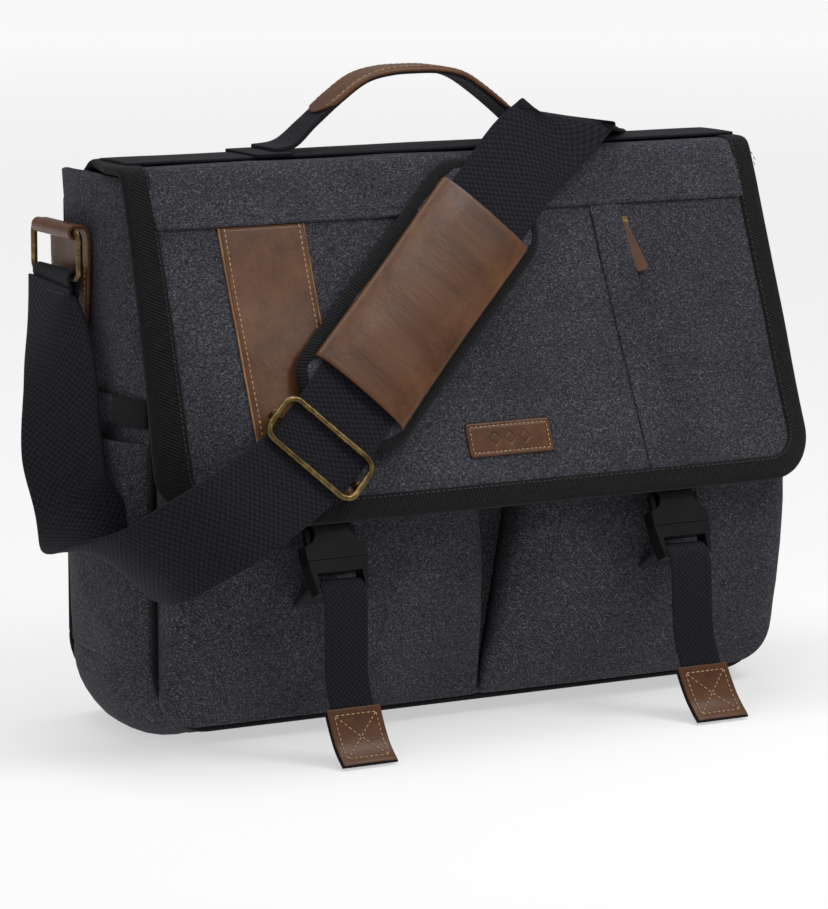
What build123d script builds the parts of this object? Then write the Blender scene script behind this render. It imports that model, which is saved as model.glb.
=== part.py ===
from build123d import *
from math import atan2, cos, degrees, hypot, radians, sin, tan
import os

# A messenger bag, in millimetres. X runs across the bag, the front faces -Y, and it stands on Z = 0.

# Bag body
bag_width = 380            # front and back panels, side to side
bag_depth = 104            # front seam to back seam
back_height = 283          # top of the back panel
seam_height = 14           # bottom seams above the ground, where the base rounds under
side_bulge = 8             # how far a filled gusset stands out from its seams
flat_depth = 60            # depth of the flat part of gusset and base
corner_radius = 30         # bottom corners of the front and back panels
fabric = 2.0               # canvas with its backing
front_lean_height = 200    # above this the front panel leans back under the flap
front_top_y = -36
front_top_height = 274
gusset_peak = 292          # gusset top at its middle, under the flap
gusset_peak_y = 24
base_band_height = 36      # the base panel wraps up the sides this far
piping = 2.5
seam_gap = 0.2             # between pieces sewn face to face

# Inside
lining = 0.8
board_thickness = 3
divider_thickness = 6
divider_y = 21             # middle of the padded divider
divider_height = 232
organizer_height = 120
organizer_gap = 5
laptop_strap_width = 25

# Pockets
pocket_slot = 16           # between the two front pockets
pocket_fabric = 1.6
pocket_top = 192
pocket_belly = 32          # how far a front pocket stands out from the front seam
pocket_belly_height = 106
pocket_belly_drop = 28     # from there down to where the belly turns under
pocket_shoulder = 4        # the belly is this much shallower just above and below
pocket_mouth = 14          # depth of its open top
side_pocket_top = 163
side_pocket_bulge = 6.4
side_band_height = 15
side_band_rise = 8         # above the pocket's hem
side_band_back = 6         # it runs from the front seam to here

# Flap
flap_inset = 2               # the flap is this much narrower than the panels at each side
flap_top = 304
flap_top_depth = 56        # flat top, front to back
flap_drop = 180            # top edge down to the hem
hem_lead = 21                # the hem stands this far in front of the pockets' bellies
flap_canvas = 2.0
flap_lining = 1.0
flap_corner = 28
binding_width = 13
trim = 0.8                 # thin sewn-on strips
yoke_drop = 34
stripe_width = 50
stripe_x = -122
patch_width = 51
patch_height = 18.5
patch_x = 0.5
patch_drop = 150           # down the flap from its top edge
top_band_width = 34

# Zip pocket on the flap
zip_x = 95
zip_tape_width = 18
zip_chain_width = 5
zip_top = 42               # down the flap
zip_hem_gap = 19.8          # from the chain to the hem
zip_slider_length = 9
zip_pull_length = 30
zip_pull_width = 8
zip_pull_angle = 16
placket_width = 20
placket_rise = 4.2

# Handle
handle_x = -12             # its middle
handle_span = 156          # between its feet
handle_rise = 41           # underside of the arch above the flap's top
handle_width = 24
handle_bend = 78
handle_webbing = 4
handle_foot_width = 38
handle_foot_length = 22
handle_foot_thickness = 2
handle_lean_limit = 15     # to the front or the back, while the strap lies over it
grip_width = 22
grip_leather = 1.8

# Shoulder strap
strap_width = 50
strap_thickness = 2.4
strap_lift = 10            # middle of the strap above the flap
strap_angle = 43.9         # up the flap, from X
strap_x = 7                # where its middle line meets strap_drop
strap_drop = 38.3
pad_length = 180
pad_width = 72
pad_middle = -66           # along the strap from that point
pad_thickness = 5
sleeve_length = 133
sleeve_margin = 3.8          # each side of the strap
sleeve_leather = 1.6
slider_middle = -174       # along the strap
slider_margin = 4            # wire middle outside the strap's edge, each side
slider_height = 27         # along the strap
wire = 1.75                # radius of the brass wire
ring_play = 2.5              # each side of the strap
ring_height = 24
ring_y = 28
ring_z = 269
ring_out = 9.5             # ring axis outside the gusset
running_gap = 0.1
tab_leather = 2.4
tab_height = 59
tab_inset = 1                # narrower than the strap at each side

# Buckles
buckle_x = 105             # each side of their middle
buckle_offset = -6  
buckle_drop = 213.5        # down the flap's slope to where socket and plug meet
buckle_depth = 9.5         # middle of the buckle below the flap's outer face
buckle_width = 35
buckle_thickness = 9
socket_height = 30
plug_height = 18
prong_height = 17
wall = 2.0
buckle_gap = 0.35
buckle_webbing = 25
webbing_thickness = 1.6
tail_tip_length = 32
tail_ground_gap = 0.6

half_width = bag_width / 2
flap_width = bag_width - 2 * flap_inset
flap_reach = bag_depth / 2 + pocket_belly + hem_lead - flap_top_depth / 2
sleeve_width = strap_width + 2 * sleeve_margin
slider_length = strap_width + 2 * slider_margin
ring_inner = strap_width + 2 * ring_play
tab_width = strap_width - 2 * tab_inset
front_y = -bag_depth / 2
back_y = bag_depth / 2
hinge_y = back_y - 0.9
hinge_z = back_height + 1.8
flap_total = flap_canvas + flap_lining
slope = hypot(flap_drop, flap_reach)
zip_bottom = slope - zip_hem_gap
down_y = -flap_reach / slope
down_z = -flap_drop / slope

os.makedirs("parts", exist_ok=True)


def save(name, shape):
    export_step(shape, "parts/" + name + ".step")


def block(x0, x1, y0, y1, z0, z1):
    return Pos((x0 + x1) / 2, (y0 + y1) / 2, (z0 + z1) / 2) * Box(x1 - x0, y1 - y0, z1 - z0)


def across(points, x0, x1):
    """A side profile of (y, z) points, extruded from x0 to x1."""
    face = make_face(Polyline([Vector(0, y, z) for y, z in points], close=True))
    return Pos(x0, 0, 0) * extrude(face, x1 - x0, dir=(1, 0, 0))


def mirrored(shape):
    return mirror(shape, Plane.YZ)


def outline(half, bottom, top, radius, y):
    """Rounded bottom corners, square top, in the plane at y."""
    corners = Polyline((-half, top), (-half, bottom), (half, bottom), (half, top), close=True)
    face = make_face(corners)
    low = face.vertices().sort_by(Axis.Y)[:2]
    return Plane(origin=(0, y, 0), x_dir=(1, 0, 0), z_dir=(0, -1, 0)) * fillet(low, radius)


# The gusset and base are one strip round the two panels, bulged outwards between its seams.
def strip_solid(inset):
    depth = bag_depth / 2 - fabric
    flat = flat_depth / 2
    wide = half_width + side_bulge - inset
    seam = outline(half_width - inset, seam_height + inset, gusset_peak, corner_radius - inset, -depth)
    inner = outline(wide, inset, gusset_peak, corner_radius + side_bulge - inset, -flat)
    seam_back = Pos(0, 2 * depth, 0) * seam
    inner_back = Pos(0, 2 * flat, 0) * inner
    return loft([seam, inner, inner_back, seam_back], ruled=True)


side_profile = [
    (front_y + fabric, 0),
    (front_y + fabric, front_lean_height),
    (front_top_y + fabric, front_top_height),
    (gusset_peak_y, gusset_peak),
    (back_y - fabric, back_height - 4),
    (back_y - fabric, 0),
]
reach = half_width + 40
strip = (strip_solid(0) - strip_solid(fabric)) & across(side_profile, -reach, reach)
base_zone = block(-reach, reach, front_y, back_y, -1, base_band_height)
base_panel = strip & base_zone
gussets = strip - base_zone
left_gusset = gussets & block(-reach, 0, front_y, back_y, 0, gusset_peak + 10)
save("base_panel", base_panel)
save("left_gusset", left_gusset)
save("right_gusset", gussets & block(0, reach, front_y, back_y, 0, gusset_peak + 10))


def panel_outline(grow, y0, y1):
    face = outline(half_width + grow, seam_height - grow, gusset_peak + 30, corner_radius + grow, y0)
    return extrude(face, y1 - y0, dir=(0, 1, 0))


front_profile = [
    (front_y, 0),
    (front_y, front_lean_height),
    (front_top_y, front_top_height),
    (front_top_y + fabric, front_top_height),
    (front_y + fabric, front_lean_height),
    (front_y + fabric, 0),
]
save("front_panel", across(front_profile, -reach, reach) & panel_outline(0, front_y, back_y))
back_profile = [(back_y - fabric, 0), (back_y - fabric, back_height), (back_y, back_height), (back_y, 0)]
save("back_panel", across(back_profile, -reach, reach) & panel_outline(0, front_y, back_y + 1))


def piping_ring(y0, y1, top):
    ring = panel_outline(piping, y0, y1) - panel_outline(0, y0 - 1, y1 + 1)
    return ring & block(-reach, reach, y0, y1, 0, top)


save("piping_front", piping_ring(front_y - 1, front_y + fabric, front_lean_height))
save("piping_back", piping_ring(back_y - fabric, back_y + 1, back_height))


# Inside: a lining bag, a stiff board, a padded divider with its strap and a slip pocket
def inside_profile(inset):
    return [
        (front_y + fabric + inset, seam_height + fabric + inset),
        (front_y + fabric + inset, front_lean_height),
        (front_top_y + fabric + inset, front_top_height - 8),
        (back_y - fabric - inset, front_top_height - 8),
        (back_y - fabric - inset, seam_height + fabric + inset),
    ]


def lining_solid(inset, extra):
    room = across(inside_profile(inset), -half_width + fabric + inset, half_width - fabric - inset)
    lid = across([(front_top_y + fabric + inset, front_top_height - 9),
                  (front_top_y + fabric + inset, front_top_height - 8 + extra),
                  (back_y - fabric - inset, front_top_height - 8 + extra),
                  (back_y - fabric - inset, front_top_height - 9)],
                 -half_width + fabric + inset, half_width - fabric - inset)
    rounded = panel_outline(-fabric - inset, front_y, back_y)
    return (room + lid if extra else room) & rounded


save("lining", lining_solid(seam_gap, 0) - lining_solid(seam_gap + lining, 5))
board_z = fabric + seam_gap
board_half = half_width - corner_radius
save("base_board", block(-board_half, board_half, -flat_depth / 2 + 1, flat_depth / 2 - 1, board_z,
                         board_z + board_thickness))
inner_half = half_width - fabric - 2 * seam_gap - lining
inner_floor = seam_height + fabric + 2 * seam_gap + lining
divider = block(-inner_half, inner_half, divider_y - divider_thickness / 2, divider_y + divider_thickness / 2,
                inner_floor, divider_height)
save("laptop_divider", divider & panel_outline(-fabric - 2 * seam_gap - lining, front_y, back_y))
strap_top = divider_height + seam_gap
inner_back = back_y - fabric - lining - 2 * seam_gap
strap_front_y = divider_y - divider_thickness / 2 - seam_gap
laptop_strap = across([
    (inner_back, strap_top),
    (inner_back, strap_top + webbing_thickness),
    (strap_front_y - webbing_thickness, strap_top + webbing_thickness),
    (strap_front_y - webbing_thickness, divider_height - 55),
    (strap_front_y, divider_height - 55),
    (strap_front_y, strap_top),
], -laptop_strap_width / 2, laptop_strap_width / 2)
save("laptop_strap", laptop_strap)
organizer_y = front_y + fabric + lining + 2 * seam_gap
organizer_half = inner_half - 40
organizer = block(-organizer_half, organizer_half, organizer_y, organizer_y + organizer_gap + pocket_fabric,
                  inner_floor + 30, inner_floor + 30 + organizer_height)
organizer_room = block(-organizer_half + pocket_fabric, organizer_half - pocket_fabric, organizer_y - 1,
                       organizer_y + organizer_gap, inner_floor + 30 + pocket_fabric, divider_height)
save("organizer_pocket", organizer - organizer_room)


# Front pockets: bellows that bulge from the bottom seam to an open top
def pocket_profile(inset, top):
    sewn = front_y - seam_gap
    belly = front_y - pocket_belly + inset
    bottom = seam_height + 1 + inset
    wall_top = pocket_top + top
    return [
        (sewn - inset, bottom),
        (front_y - pocket_belly / 2 + inset, bottom + 22),
        (belly + pocket_shoulder, pocket_belly_height - pocket_belly_drop),
        (belly, pocket_belly_height),
        (belly + pocket_shoulder, pocket_belly_height + 24),
        (front_y - pocket_mouth + inset, pocket_top),
        (front_y - pocket_mouth + inset, wall_top),
        (sewn - inset, wall_top),
    ]


pocket_half = half_width - 4
pocket_outer = across(pocket_profile(0, 0.5), pocket_slot / 2, pocket_half)
pocket_inner = across(pocket_profile(pocket_fabric, 8), pocket_slot / 2 + pocket_fabric, pocket_half - pocket_fabric)
pocket_shape = extrude(outline(pocket_half, seam_height + 1, pocket_top + 20, corner_radius - 4, front_y - 60), 120,
                       dir=(0, 1, 0))
front_pocket = (pocket_outer - pocket_inner) & pocket_shape
save("front_pocket_right", front_pocket)
save("front_pocket_left", mirrored(front_pocket))


# Side pockets: a slip pocket over the lower gusset, with a canvas band and an elastic above it
def gusset_plan(grow, z0, z1):
    depth = bag_depth / 2 - fabric
    flat = flat_depth / 2
    near = half_width + seam_gap
    far = half_width + side_bulge + grow
    face = make_face(Polyline((half_width - 20, -depth), (near, -depth), (far, -flat), (far, flat), (near, depth),
                              (half_width - 20, depth), close=True))
    return Pos(0, 0, z0) * extrude(face, z1 - z0)


pocket_floor = base_band_height + 8
room_top = side_pocket_top + 5
side_pocket = gusset_plan(side_pocket_bulge, pocket_floor, side_pocket_top)
side_pocket -= gusset_plan(side_pocket_bulge - pocket_fabric, pocket_floor + pocket_fabric, room_top)
side_pocket -= gusset_plan(seam_gap, 0, room_top)
save("side_pocket_right", side_pocket)
save("side_pocket_left", mirrored(side_pocket))
band_floor = side_pocket_top + side_band_rise
band = gusset_plan(seam_gap + 1.2, band_floor, band_floor + side_band_height)
band -= gusset_plan(seam_gap, 0, band_floor + 50)
band &= block(0, reach, front_y, side_band_back, 0, band_floor + 50)
save("side_band_right", band)
save("side_band_left", mirrored(band))


# Flap: a bent sheet from the hinge over the top and down the front
def flap_line(height):
    """Side profile at a height above the flap's outer face, hinge end first."""
    top_back = flap_top_depth / 2
    lead = (back_y - top_back, hinge_z + 1.2 - flap_top)
    length = hypot(*lead)
    normal = (-lead[1] / length, lead[0] / length)
    bend = tan(atan2(normal[0], normal[1]) / 2) * height
    fold = tan(atan2(flap_drop, flap_reach) / 2) * height
    return [
        (back_y + normal[0] * height, hinge_z + 1.2 + normal[1] * height),
        (top_back + bend, flap_top + height),
        (-top_back - fold, flap_top + height),
        (-top_back - flap_reach + down_z * height, flap_top - flap_drop - down_y * height),
    ]


def flap_sheet(low, high, half, drop=0.0):
    """The bent sheet between two heights above the outer face."""
    return across(flap_line(high) + flap_line(low)[::-1], -half, half)


flap_place = Plane(origin=(0, -flap_top_depth / 2, flap_top), x_dir=(1, 0, 0), z_dir=(0, down_z, -down_y))


def on_flap(x, drop, lift):
    """A point on the flap's front: across, down from the top edge, out from the face."""
    return Vector(x, -flap_top_depth / 2 + down_y * drop + down_z * lift, flap_top + down_z * drop - down_y * lift)


def flap_block(x0, x1, drop0, drop1, low, high):
    """A plate lying on the flap's front."""
    middle = on_flap((x0 + x1) / 2, (drop0 + drop1) / 2, (low + high) / 2)
    place = Plane(origin=middle, x_dir=(1, 0, 0), z_dir=(0, down_z, -down_y))
    return place * Box(x1 - x0, drop1 - drop0, high - low)


def flap_cut(half, drop, radius):
    """A prism square to the flap's front that rounds its lower corners, open over the top."""
    face = make_face(Polyline((-half, 200), (-half, -drop), (half, -drop), (half, 200), close=True))
    low = face.vertices().sort_by(Axis.Y)[:2]
    return flap_place * (Pos(0, 0, -120) * extrude(fillet(low, radius), 160))


hem = slope
flap_half = flap_width / 2
top_zone = block(-reach, reach, -flap_top_depth / 2 - 2, back_y + 40, 0, flap_top + 60)
trim_zone = block(-reach, reach, -reach, back_y - 3, 0, flap_top + 60)
edge = 1.0
panel_cut = flap_cut(flap_half - edge, hem - edge, flap_corner - edge) + top_zone
save("flap_panel", flap_sheet(-flap_canvas, 0, flap_half - edge) & panel_cut)
save("flap_lining", flap_sheet(-flap_total, -flap_canvas, flap_half - edge) & panel_cut)
outer_cut = flap_cut(flap_half, hem, flap_corner) + top_zone
inner_cut = flap_cut(flap_half - binding_width, hem - binding_width, flap_corner - binding_width) + top_zone
binding = (flap_sheet(0, trim, flap_half) & outer_cut) - (flap_sheet(-1, 2, flap_half - binding_width) & inner_cut)
save("flap_binding", binding & trim_zone)
inner_half_flap = flap_half - binding_width - seam_gap
yoke = flap_block(-inner_half_flap, inner_half_flap, 1.5, yoke_drop, 0, trim)
save("flap_yoke", yoke)
stripe_bottom = hem - binding_width - seam_gap
stripe = flap_block(stripe_x - stripe_width / 2, stripe_x + stripe_width / 2, yoke_drop + seam_gap, stripe_bottom, 0,
                    trim + 0.4)
save("leather_stripe", stripe)
patch = flap_block(patch_x - patch_width / 2, patch_x + patch_width / 2, patch_drop, patch_drop + patch_height, 0,
                   trim + 0.6)
save("label_patch", patch)
band_top = flap_top + webbing_thickness
save("top_webbing", block(-inner_half_flap, inner_half_flap, -top_band_width / 2, top_band_width / 2, flap_top,
                          band_top))

# Zip pocket: tape and chain under a raised placket, a slider that runs down it, and a leather pull
zip_tape = flap_block(zip_x - zip_tape_width / 2, zip_x + zip_tape_width / 2, yoke_drop + seam_gap, zip_bottom + 6, 0,
                      0.6)
save("zip_tape", zip_tape)
chain_half = zip_chain_width / 2
zip_chain = flap_block(zip_x - chain_half, zip_x + chain_half, zip_top - 4, zip_bottom, 0.6, 1.5)
save("zip_chain", zip_chain)
placket_x0 = zip_x - zip_tape_width / 2 - 5.5
placket_x1 = placket_x0 + placket_width
placket = flap_block(placket_x0, placket_x1, yoke_drop + seam_gap, stripe_bottom, placket_rise, placket_rise + trim)
placket += flap_block(placket_x0, placket_x0 + 2.5, yoke_drop + seam_gap, stripe_bottom, 0, placket_rise)
save("zip_placket", placket)
slider_half = chain_half + 2
zip_slider = flap_block(zip_x - slider_half, zip_x + slider_half, zip_top, zip_top + zip_slider_length, 1.7, 2.7)
for side in (-1, 1):
    cheek = zip_x + side * (chain_half + 1.1)
    zip_slider += flap_block(cheek - 0.9, cheek + 0.9, zip_top, zip_top + zip_slider_length, 0.8, 1.8)
pin_drop = zip_top + zip_slider_length - 2.5
pin_place = Plane(origin=on_flap(zip_x, pin_drop, 2.6), x_dir=(1, 0, 0), z_dir=(0, down_z, -down_y))
zip_slider += pin_place * (Pos(0, 0, 0.6) * Cylinder(0.9, 1.2))
save("zip_slider", zip_slider)
pull = make_face(Polyline((-zip_pull_width / 2, 3), (-zip_pull_width / 2, 4 - zip_pull_length),
                          (zip_pull_width / 2, 4 - zip_pull_length), (zip_pull_width / 2, 3), close=True))
pull = extrude(fillet(pull.vertices(), 2.2), 1.0) - Cylinder(0.95, 8)
zip_pull = pin_place * (Pos(0, 0, 0.3) * (Rot(0, 0, zip_pull_angle) * pull))
save("zip_pull", zip_pull)

# Handle: two sewn feet, an arch of webbing and a leather grip along its top
foot_inner = handle_span / 2 + 0.5
foot_outer = foot_inner + handle_foot_length
for side, x0, x1 in (("left", -foot_outer, -foot_inner), ("right", foot_inner, foot_outer)):
    save("handle_foot_" + side, block(handle_x + x0, handle_x + x1, -handle_foot_width / 2, handle_foot_width / 2,
                                      band_top, band_top + handle_foot_thickness))


def arch_band(thickness, span, z0):
    """The arch seen from the front, from foot to foot."""
    half = span / 2
    top = flap_top + handle_rise + handle_webbing / 2
    shoulder = 30
    rise = (top - z0) / (handle_span / 2 - shoulder)
    start = top - rise * (half - shoulder)
    path = FilletPolyline((-half, start), (-shoulder, top), (shoulder, top), (half, start), radius=handle_bend)
    return Pos(handle_x, 0, 0) * (Plane.XZ * trace(path, line_width=thickness))


arch_start = band_top + handle_webbing / 2 + handle_width / 2 * sin(radians(handle_lean_limit)) + 1
arch_face = arch_band(handle_webbing, handle_span, arch_start)
save("handle_webbing", extrude(arch_face, handle_width / 2, dir=(0, 1, 0), both=True))
grip_span = handle_span - 26
grip_thick = handle_webbing + 2 * (grip_leather + 0.1)
grip_faces = arch_band(grip_thick, grip_span, arch_start) - arch_band(handle_webbing + 0.2, grip_span + 20, arch_start)
grip_face = grip_faces.faces().sort_by(Axis.Z)[-1]
save("handle_grip", extrude(grip_face, grip_width / 2, dir=(0, 1, 0), both=True))

# Shoulder strap. Its middle line lies on the flap at strap_angle; along and aside are measured on it.
along_x = cos(radians(strap_angle))
along_drop = -sin(radians(strap_angle))
strap_side = Vector(sin(radians(strap_angle)), down_y * along_x, down_z * along_x)


def on_strap(along, aside, lift):
    drop = strap_drop + along * along_drop + aside * along_x
    return on_flap(strap_x + along * along_x + aside * sin(radians(strap_angle)), drop, lift)


def strap_plane(along, lift):
    """X points across the strap, Y along it towards the shoulder, Z out from the flap."""
    out = Vector(0, down_z, -down_y)
    return Plane(origin=on_strap(along, 0, lift), x_dir=strap_side, z_dir=out)


def ribbon(stations, width=strap_width, thickness=strap_thickness):
    """Webbing through stations, each a middle point and the direction of its width."""
    middles = [Vector(*middle) for middle, width_way in stations]
    sections = []
    for index, (middle, width_way) in enumerate(stations):
        before = middles[max(index - 1, 0)]
        after = middles[min(index + 1, len(middles) - 1)]
        way = (after - before).normalized()
        side = Vector(*width_way).normalized()
        side = (side - way * side.dot(way)).normalized()
        place = Plane(origin=middles[index], x_dir=side, z_dir=way)
        sections.append(place * Rectangle(width, thickness))
    return loft(sections, ruled=True)


gusset_x = half_width + side_bulge
ring_x = gusset_x + ring_out
hang_top = ring_z - ring_height - 16
hem_y = -flap_top_depth / 2 - flap_reach
left_hang = [
    ((-ring_x - 1, ring_y, hang_top), (0.05, -1, 0)),
    ((-ring_x - 1.5, ring_y, hang_top - 7), (0.08, -1, 0)),
    ((-gusset_x - 23, ring_y - 25, 194.5), (0.38, -0.9, 0.18)),
    ((-gusset_x - 29, ring_y - 38, 153), (0.5, -0.8, 0.27)),
    ((-gusset_x - 28, ring_y - 42, 122), (0.45, -0.88, 0.10)),
    ((-gusset_x - 28, hem_y + 67, 104), (0.60, -0.70, -0.35)),
    ((-gusset_x - 24, hem_y + 44, 97), (0.71, -0.41, -0.58)),
]
save("strap_left_hang", ribbon(left_hang))
flap_side = tuple(strap_side)
front_run = [
    ((-gusset_x - 23.5, hem_y + 42.5, 97.2), (0.71, -0.41, -0.58)),
    ((-gusset_x - 13, hem_y + 17, 104), (0.67, -0.36, -0.65)),
    ((-gusset_x + 2, hem_y + 2, 118), (0.64, -0.32, -0.70)),
    ((-gusset_x + 21, hem_y - 6, 130), (0.63, -0.30, -0.72)),
    (tuple(on_strap(-212, 0, strap_lift)), flap_side),
    (tuple(on_strap(44, 0, strap_lift)), flap_side),
    ((70, -30, flap_top + 18), (0.76, -0.54, -0.36)),
    ((88, -10, flap_top + 20), (0.74, -0.62, -0.25)),
    ((106, 10, flap_top + 18), (0.70, -0.69, -0.20)),
    ((124, 32, flap_top + 12), (0.70, -0.69, -0.20)),
]
save("strap_front", ribbon(front_run))
back_run = [
    ((148, back_y + 9, 264), (0.8, 0, 0.6)),
    ((163, back_y + 16, 236), (0.72, 0.4, 0.56)),
    ((180, back_y + 26, 210), (0.45, 0.8, 0.35)),
    ((gusset_x, back_y + 28, 188), (0.2, 0.95, 0.15)),
    ((gusset_x + 16, back_y + 20, 175), (0.05, 1, 0)),
    ((gusset_x + 30, back_y + 6, 172), (0, 1, 0)),
    ((gusset_x + 38, ring_y + 18, 184), (0, 1, 0)),
    ((gusset_x + 33, ring_y + 8, 202), (0, 1, 0)),
    ((gusset_x + 16, ring_y + 1, 214), (0, 1, 0)),
    ((ring_x + 1, ring_y, hang_top - 6), (0, 1, 0)),
    ((ring_x + 1, ring_y, hang_top), (0, 1, 0)),
]
save("strap_back", ribbon(back_run))

# Shoulder pad: a padded base under the strap and a leather sleeve over it
pad_face = Rectangle(pad_width, pad_length)
pad_face = fillet(pad_face.vertices(), 22)
strap_low = strap_lift - strap_thickness / 2
strap_high = strap_lift + strap_thickness / 2
pad_gap = 0.4
pad_low = strap_low - pad_gap - pad_thickness
save("pad_base", strap_plane(pad_middle, pad_low) * extrude(pad_face, pad_thickness))
sleeve_outer = extrude(Rectangle(sleeve_width, sleeve_length), strap_thickness + 2 * pad_gap + sleeve_leather)
sleeve_room = extrude(Rectangle(strap_width + 2, sleeve_length + 2), strap_thickness + 2 * pad_gap)
save("pad_sleeve", strap_plane(pad_middle, pad_low + pad_thickness) * (sleeve_outer - sleeve_room))

# Slider: a wire frame over the strap, a centre bar under it, and a knob at each end that joins them
frame_lift = strap_high + pad_gap + wire
bar_lift = strap_low - pad_gap - wire
def wire_loop(width, height, radius):
    path = fillet(Rectangle(width, height).vertices(), radius).face().outer_wire()
    return sweep(Plane(origin=path @ 0, z_dir=path % 0) * Circle(wire), path=path)


slider_ring = wire_loop(slider_length, slider_height, 7)
bar = Rot(0, 90, 0) * Cylinder(wire, slider_length)
for side in (-1, 1):
    stem_height = frame_lift - bar_lift - wire
    bar += Pos(side * slider_length / 2, 0, stem_height / 2) * Cylinder(wire + 0.6, stem_height + wire)
save("slider", strap_plane(slider_middle, bar_lift) * bar + strap_plane(slider_middle, frame_lift) * slider_ring)

# Rings: a leather tab sewn to the gusset, the wire ring in its loop, and the sewn strap end
tube_inner = wire + running_gap
tube_outer = tube_inner + tab_leather
tab_face = gusset_x + seam_gap
tab = block(tab_face, tab_face + tab_leather, ring_y - tab_width / 2, ring_y + tab_width / 2, ring_z - tab_height,
            ring_z + tube_outer)
tab += block(tab_face, ring_x, ring_y - tab_width / 2, ring_y + tab_width / 2, ring_z + tube_inner,
             ring_z + tube_outer)
tube = Pos(ring_x, ring_y, ring_z) * (Rot(90, 0, 0) * Cylinder(tube_outer, tab_width))
tube_bore = Pos(ring_x, ring_y, ring_z) * (Rot(90, 0, 0) * Cylinder(tube_inner, tab_width + 2))
ring_tab = tab + tube - tube_bore
save("ring_tab_right", ring_tab)
save("ring_tab_left", mirrored(ring_tab))
ring_place = Plane(origin=(ring_x, ring_y, ring_z - ring_height / 2), x_dir=(0, 1, 0), z_dir=(1, 0, 0))
ring = ring_place * wire_loop(ring_inner + 2 * wire, ring_height, 4)
save("ring_right", ring)
save("ring_left", mirrored(ring))
end_z = ring_z - ring_height
end_outer = wire + seam_gap + strap_thickness
end_width = strap_width - 4
strap_end = Pos(ring_x, ring_y, end_z) * (Rot(90, 0, 0) * Cylinder(end_outer, end_width))
strap_end += block(ring_x - strap_thickness, ring_x + strap_thickness, ring_y - end_width / 2,
                   ring_y + end_width / 2, hang_top + 1, end_z)
strap_end -= Pos(ring_x, ring_y, end_z) * (Rot(90, 0, 0) * Cylinder(wire + seam_gap, strap_width + 2))
save("strap_end_right", strap_end)
save("strap_end_left", mirrored(strap_end))

# Buckles, drawn upright on their own middle: Z = 0 is the line where socket and plug meet, -Y is the front.
half_buckle = buckle_width / 2
half_thick = buckle_thickness / 2
notch_radius = 7
socket = block(-half_buckle, half_buckle, -half_thick, half_thick, 0, socket_height)
room_half = half_buckle - wall
socket -= block(-room_half, room_half, -half_thick + wall, half_thick - wall, -1, prong_height + 1.5)
for side in (-1, 1):
    notch = Pos(side * half_buckle, 0, 15) * (Rot(90, 0, 0) * Cylinder(notch_radius, buckle_thickness + 2))
    socket -= notch
slot_top = socket_height - 2.5
slot_half = buckle_webbing / 2 + 1
socket -= block(-slot_half, slot_half, -half_thick - 1, half_thick + 1, slot_top - 5.5, slot_top)

plug_top = -buckle_gap
plug_base = -plug_height
plug_low_half = half_buckle - 3
plug_face = make_face(Polyline((-plug_low_half, plug_base), (plug_low_half, plug_base), (half_buckle, plug_top),
                               (-half_buckle, plug_top), close=True))
plug = Pos(0, half_thick, 0) * extrude(Plane.XZ * plug_face, buckle_thickness)
window_half = buckle_webbing / 2 + 0.6
plug -= block(-window_half, window_half, -half_thick - 1, half_thick + 1, plug_base + 3, plug_base + 11)
bar_radius = 1.4
bar_z = plug_base + 6.6
plug += Pos(0, 0, bar_z) * (Rot(0, 90, 0) * Cylinder(bar_radius, 2 * window_half))
plug += block(-3, 3, -1.8, 1.8, plug_top, prong_height - 1)
arm_radius = 1.6
arm_x = room_half - arm_radius - 0.6
arm_pivot = plug_top + 0.3 + arm_radius
arm = Pos(arm_x, 0, arm_pivot) * (Rot(90, 0, 0) * Cylinder(arm_radius, 3.6))
arm += block(arm_x - arm_radius, arm_x + arm_radius, -1.8, 1.8, arm_pivot, prong_height)

def buckle_plane(x):
    """Parallel to the flap, with the buckle's own Z up the slope."""
    return Plane(origin=on_flap(x, buckle_drop, -buckle_depth), x_dir=(1, 0, 0), z_dir=(0, -down_y, -down_z))


def buckle_point(back, up):
    """A side-profile point (y, z), from a place on the buckle's own middle."""
    place = on_flap(0, buckle_drop - up, -buckle_depth - back)
    return (place.Y, place.Z)


def webbing_run(points, width, low, high):
    """Webbing through side-profile points, between two distances in front of its line."""
    front, back = [], []
    for index, (y, z) in enumerate(points):
        before = points[max(index - 1, 0)]
        after = points[min(index + 1, len(points) - 1)]
        way = (after[0] - before[0], after[1] - before[1])
        size = hypot(*way)
        out = (way[1] / size, -way[0] / size)
        front.append((y + out[0] * high, z + out[1] * high))
        back.append((y + out[0] * low, z + out[1] * low))
    return across(front + back[::-1], -width / 2, width / 2)


# The anchor is sewn to the pocket and runs up behind the plug.
anchor_y = front_y - pocket_belly + pocket_shoulder - seam_gap
anchor_z = pocket_belly_height - pocket_belly_drop
anchor_points = [
    buckle_point(half_thick + 0.5, bar_z),
    (anchor_y - 8, anchor_z + 6),
    (anchor_y, anchor_z),
]
anchor = webbing_run(anchor_points, buckle_webbing, 0, webbing_thickness)

# The tail hangs in front of the plug and its tip kicks forward to the ground.
tail_top = buckle_point(-half_thick - 0.4, bar_z - 1)
tail_bend = buckle_point(-half_thick - 0.4, plug_base - 2)
tail_points = [tail_top, tail_bend, (tail_bend[0] + 1, 66), (tail_bend[0] + 1, 42), (tail_bend[0] - 3, 27)]
tip_drop = tail_points[-1][1] - tail_ground_gap
tip_reach = (tail_tip_length ** 2 - tip_drop ** 2) ** 0.5
tip_end = (tail_points[-1][0] - tip_reach, tail_ground_gap)
tail = webbing_run(tail_points + [tip_end], buckle_webbing, 0, webbing_thickness)
tip_low = webbing_thickness + 0.15
tip = webbing_run([tail_points[-1], tip_end], buckle_webbing, tip_low, tip_low + 1.2)

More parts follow.
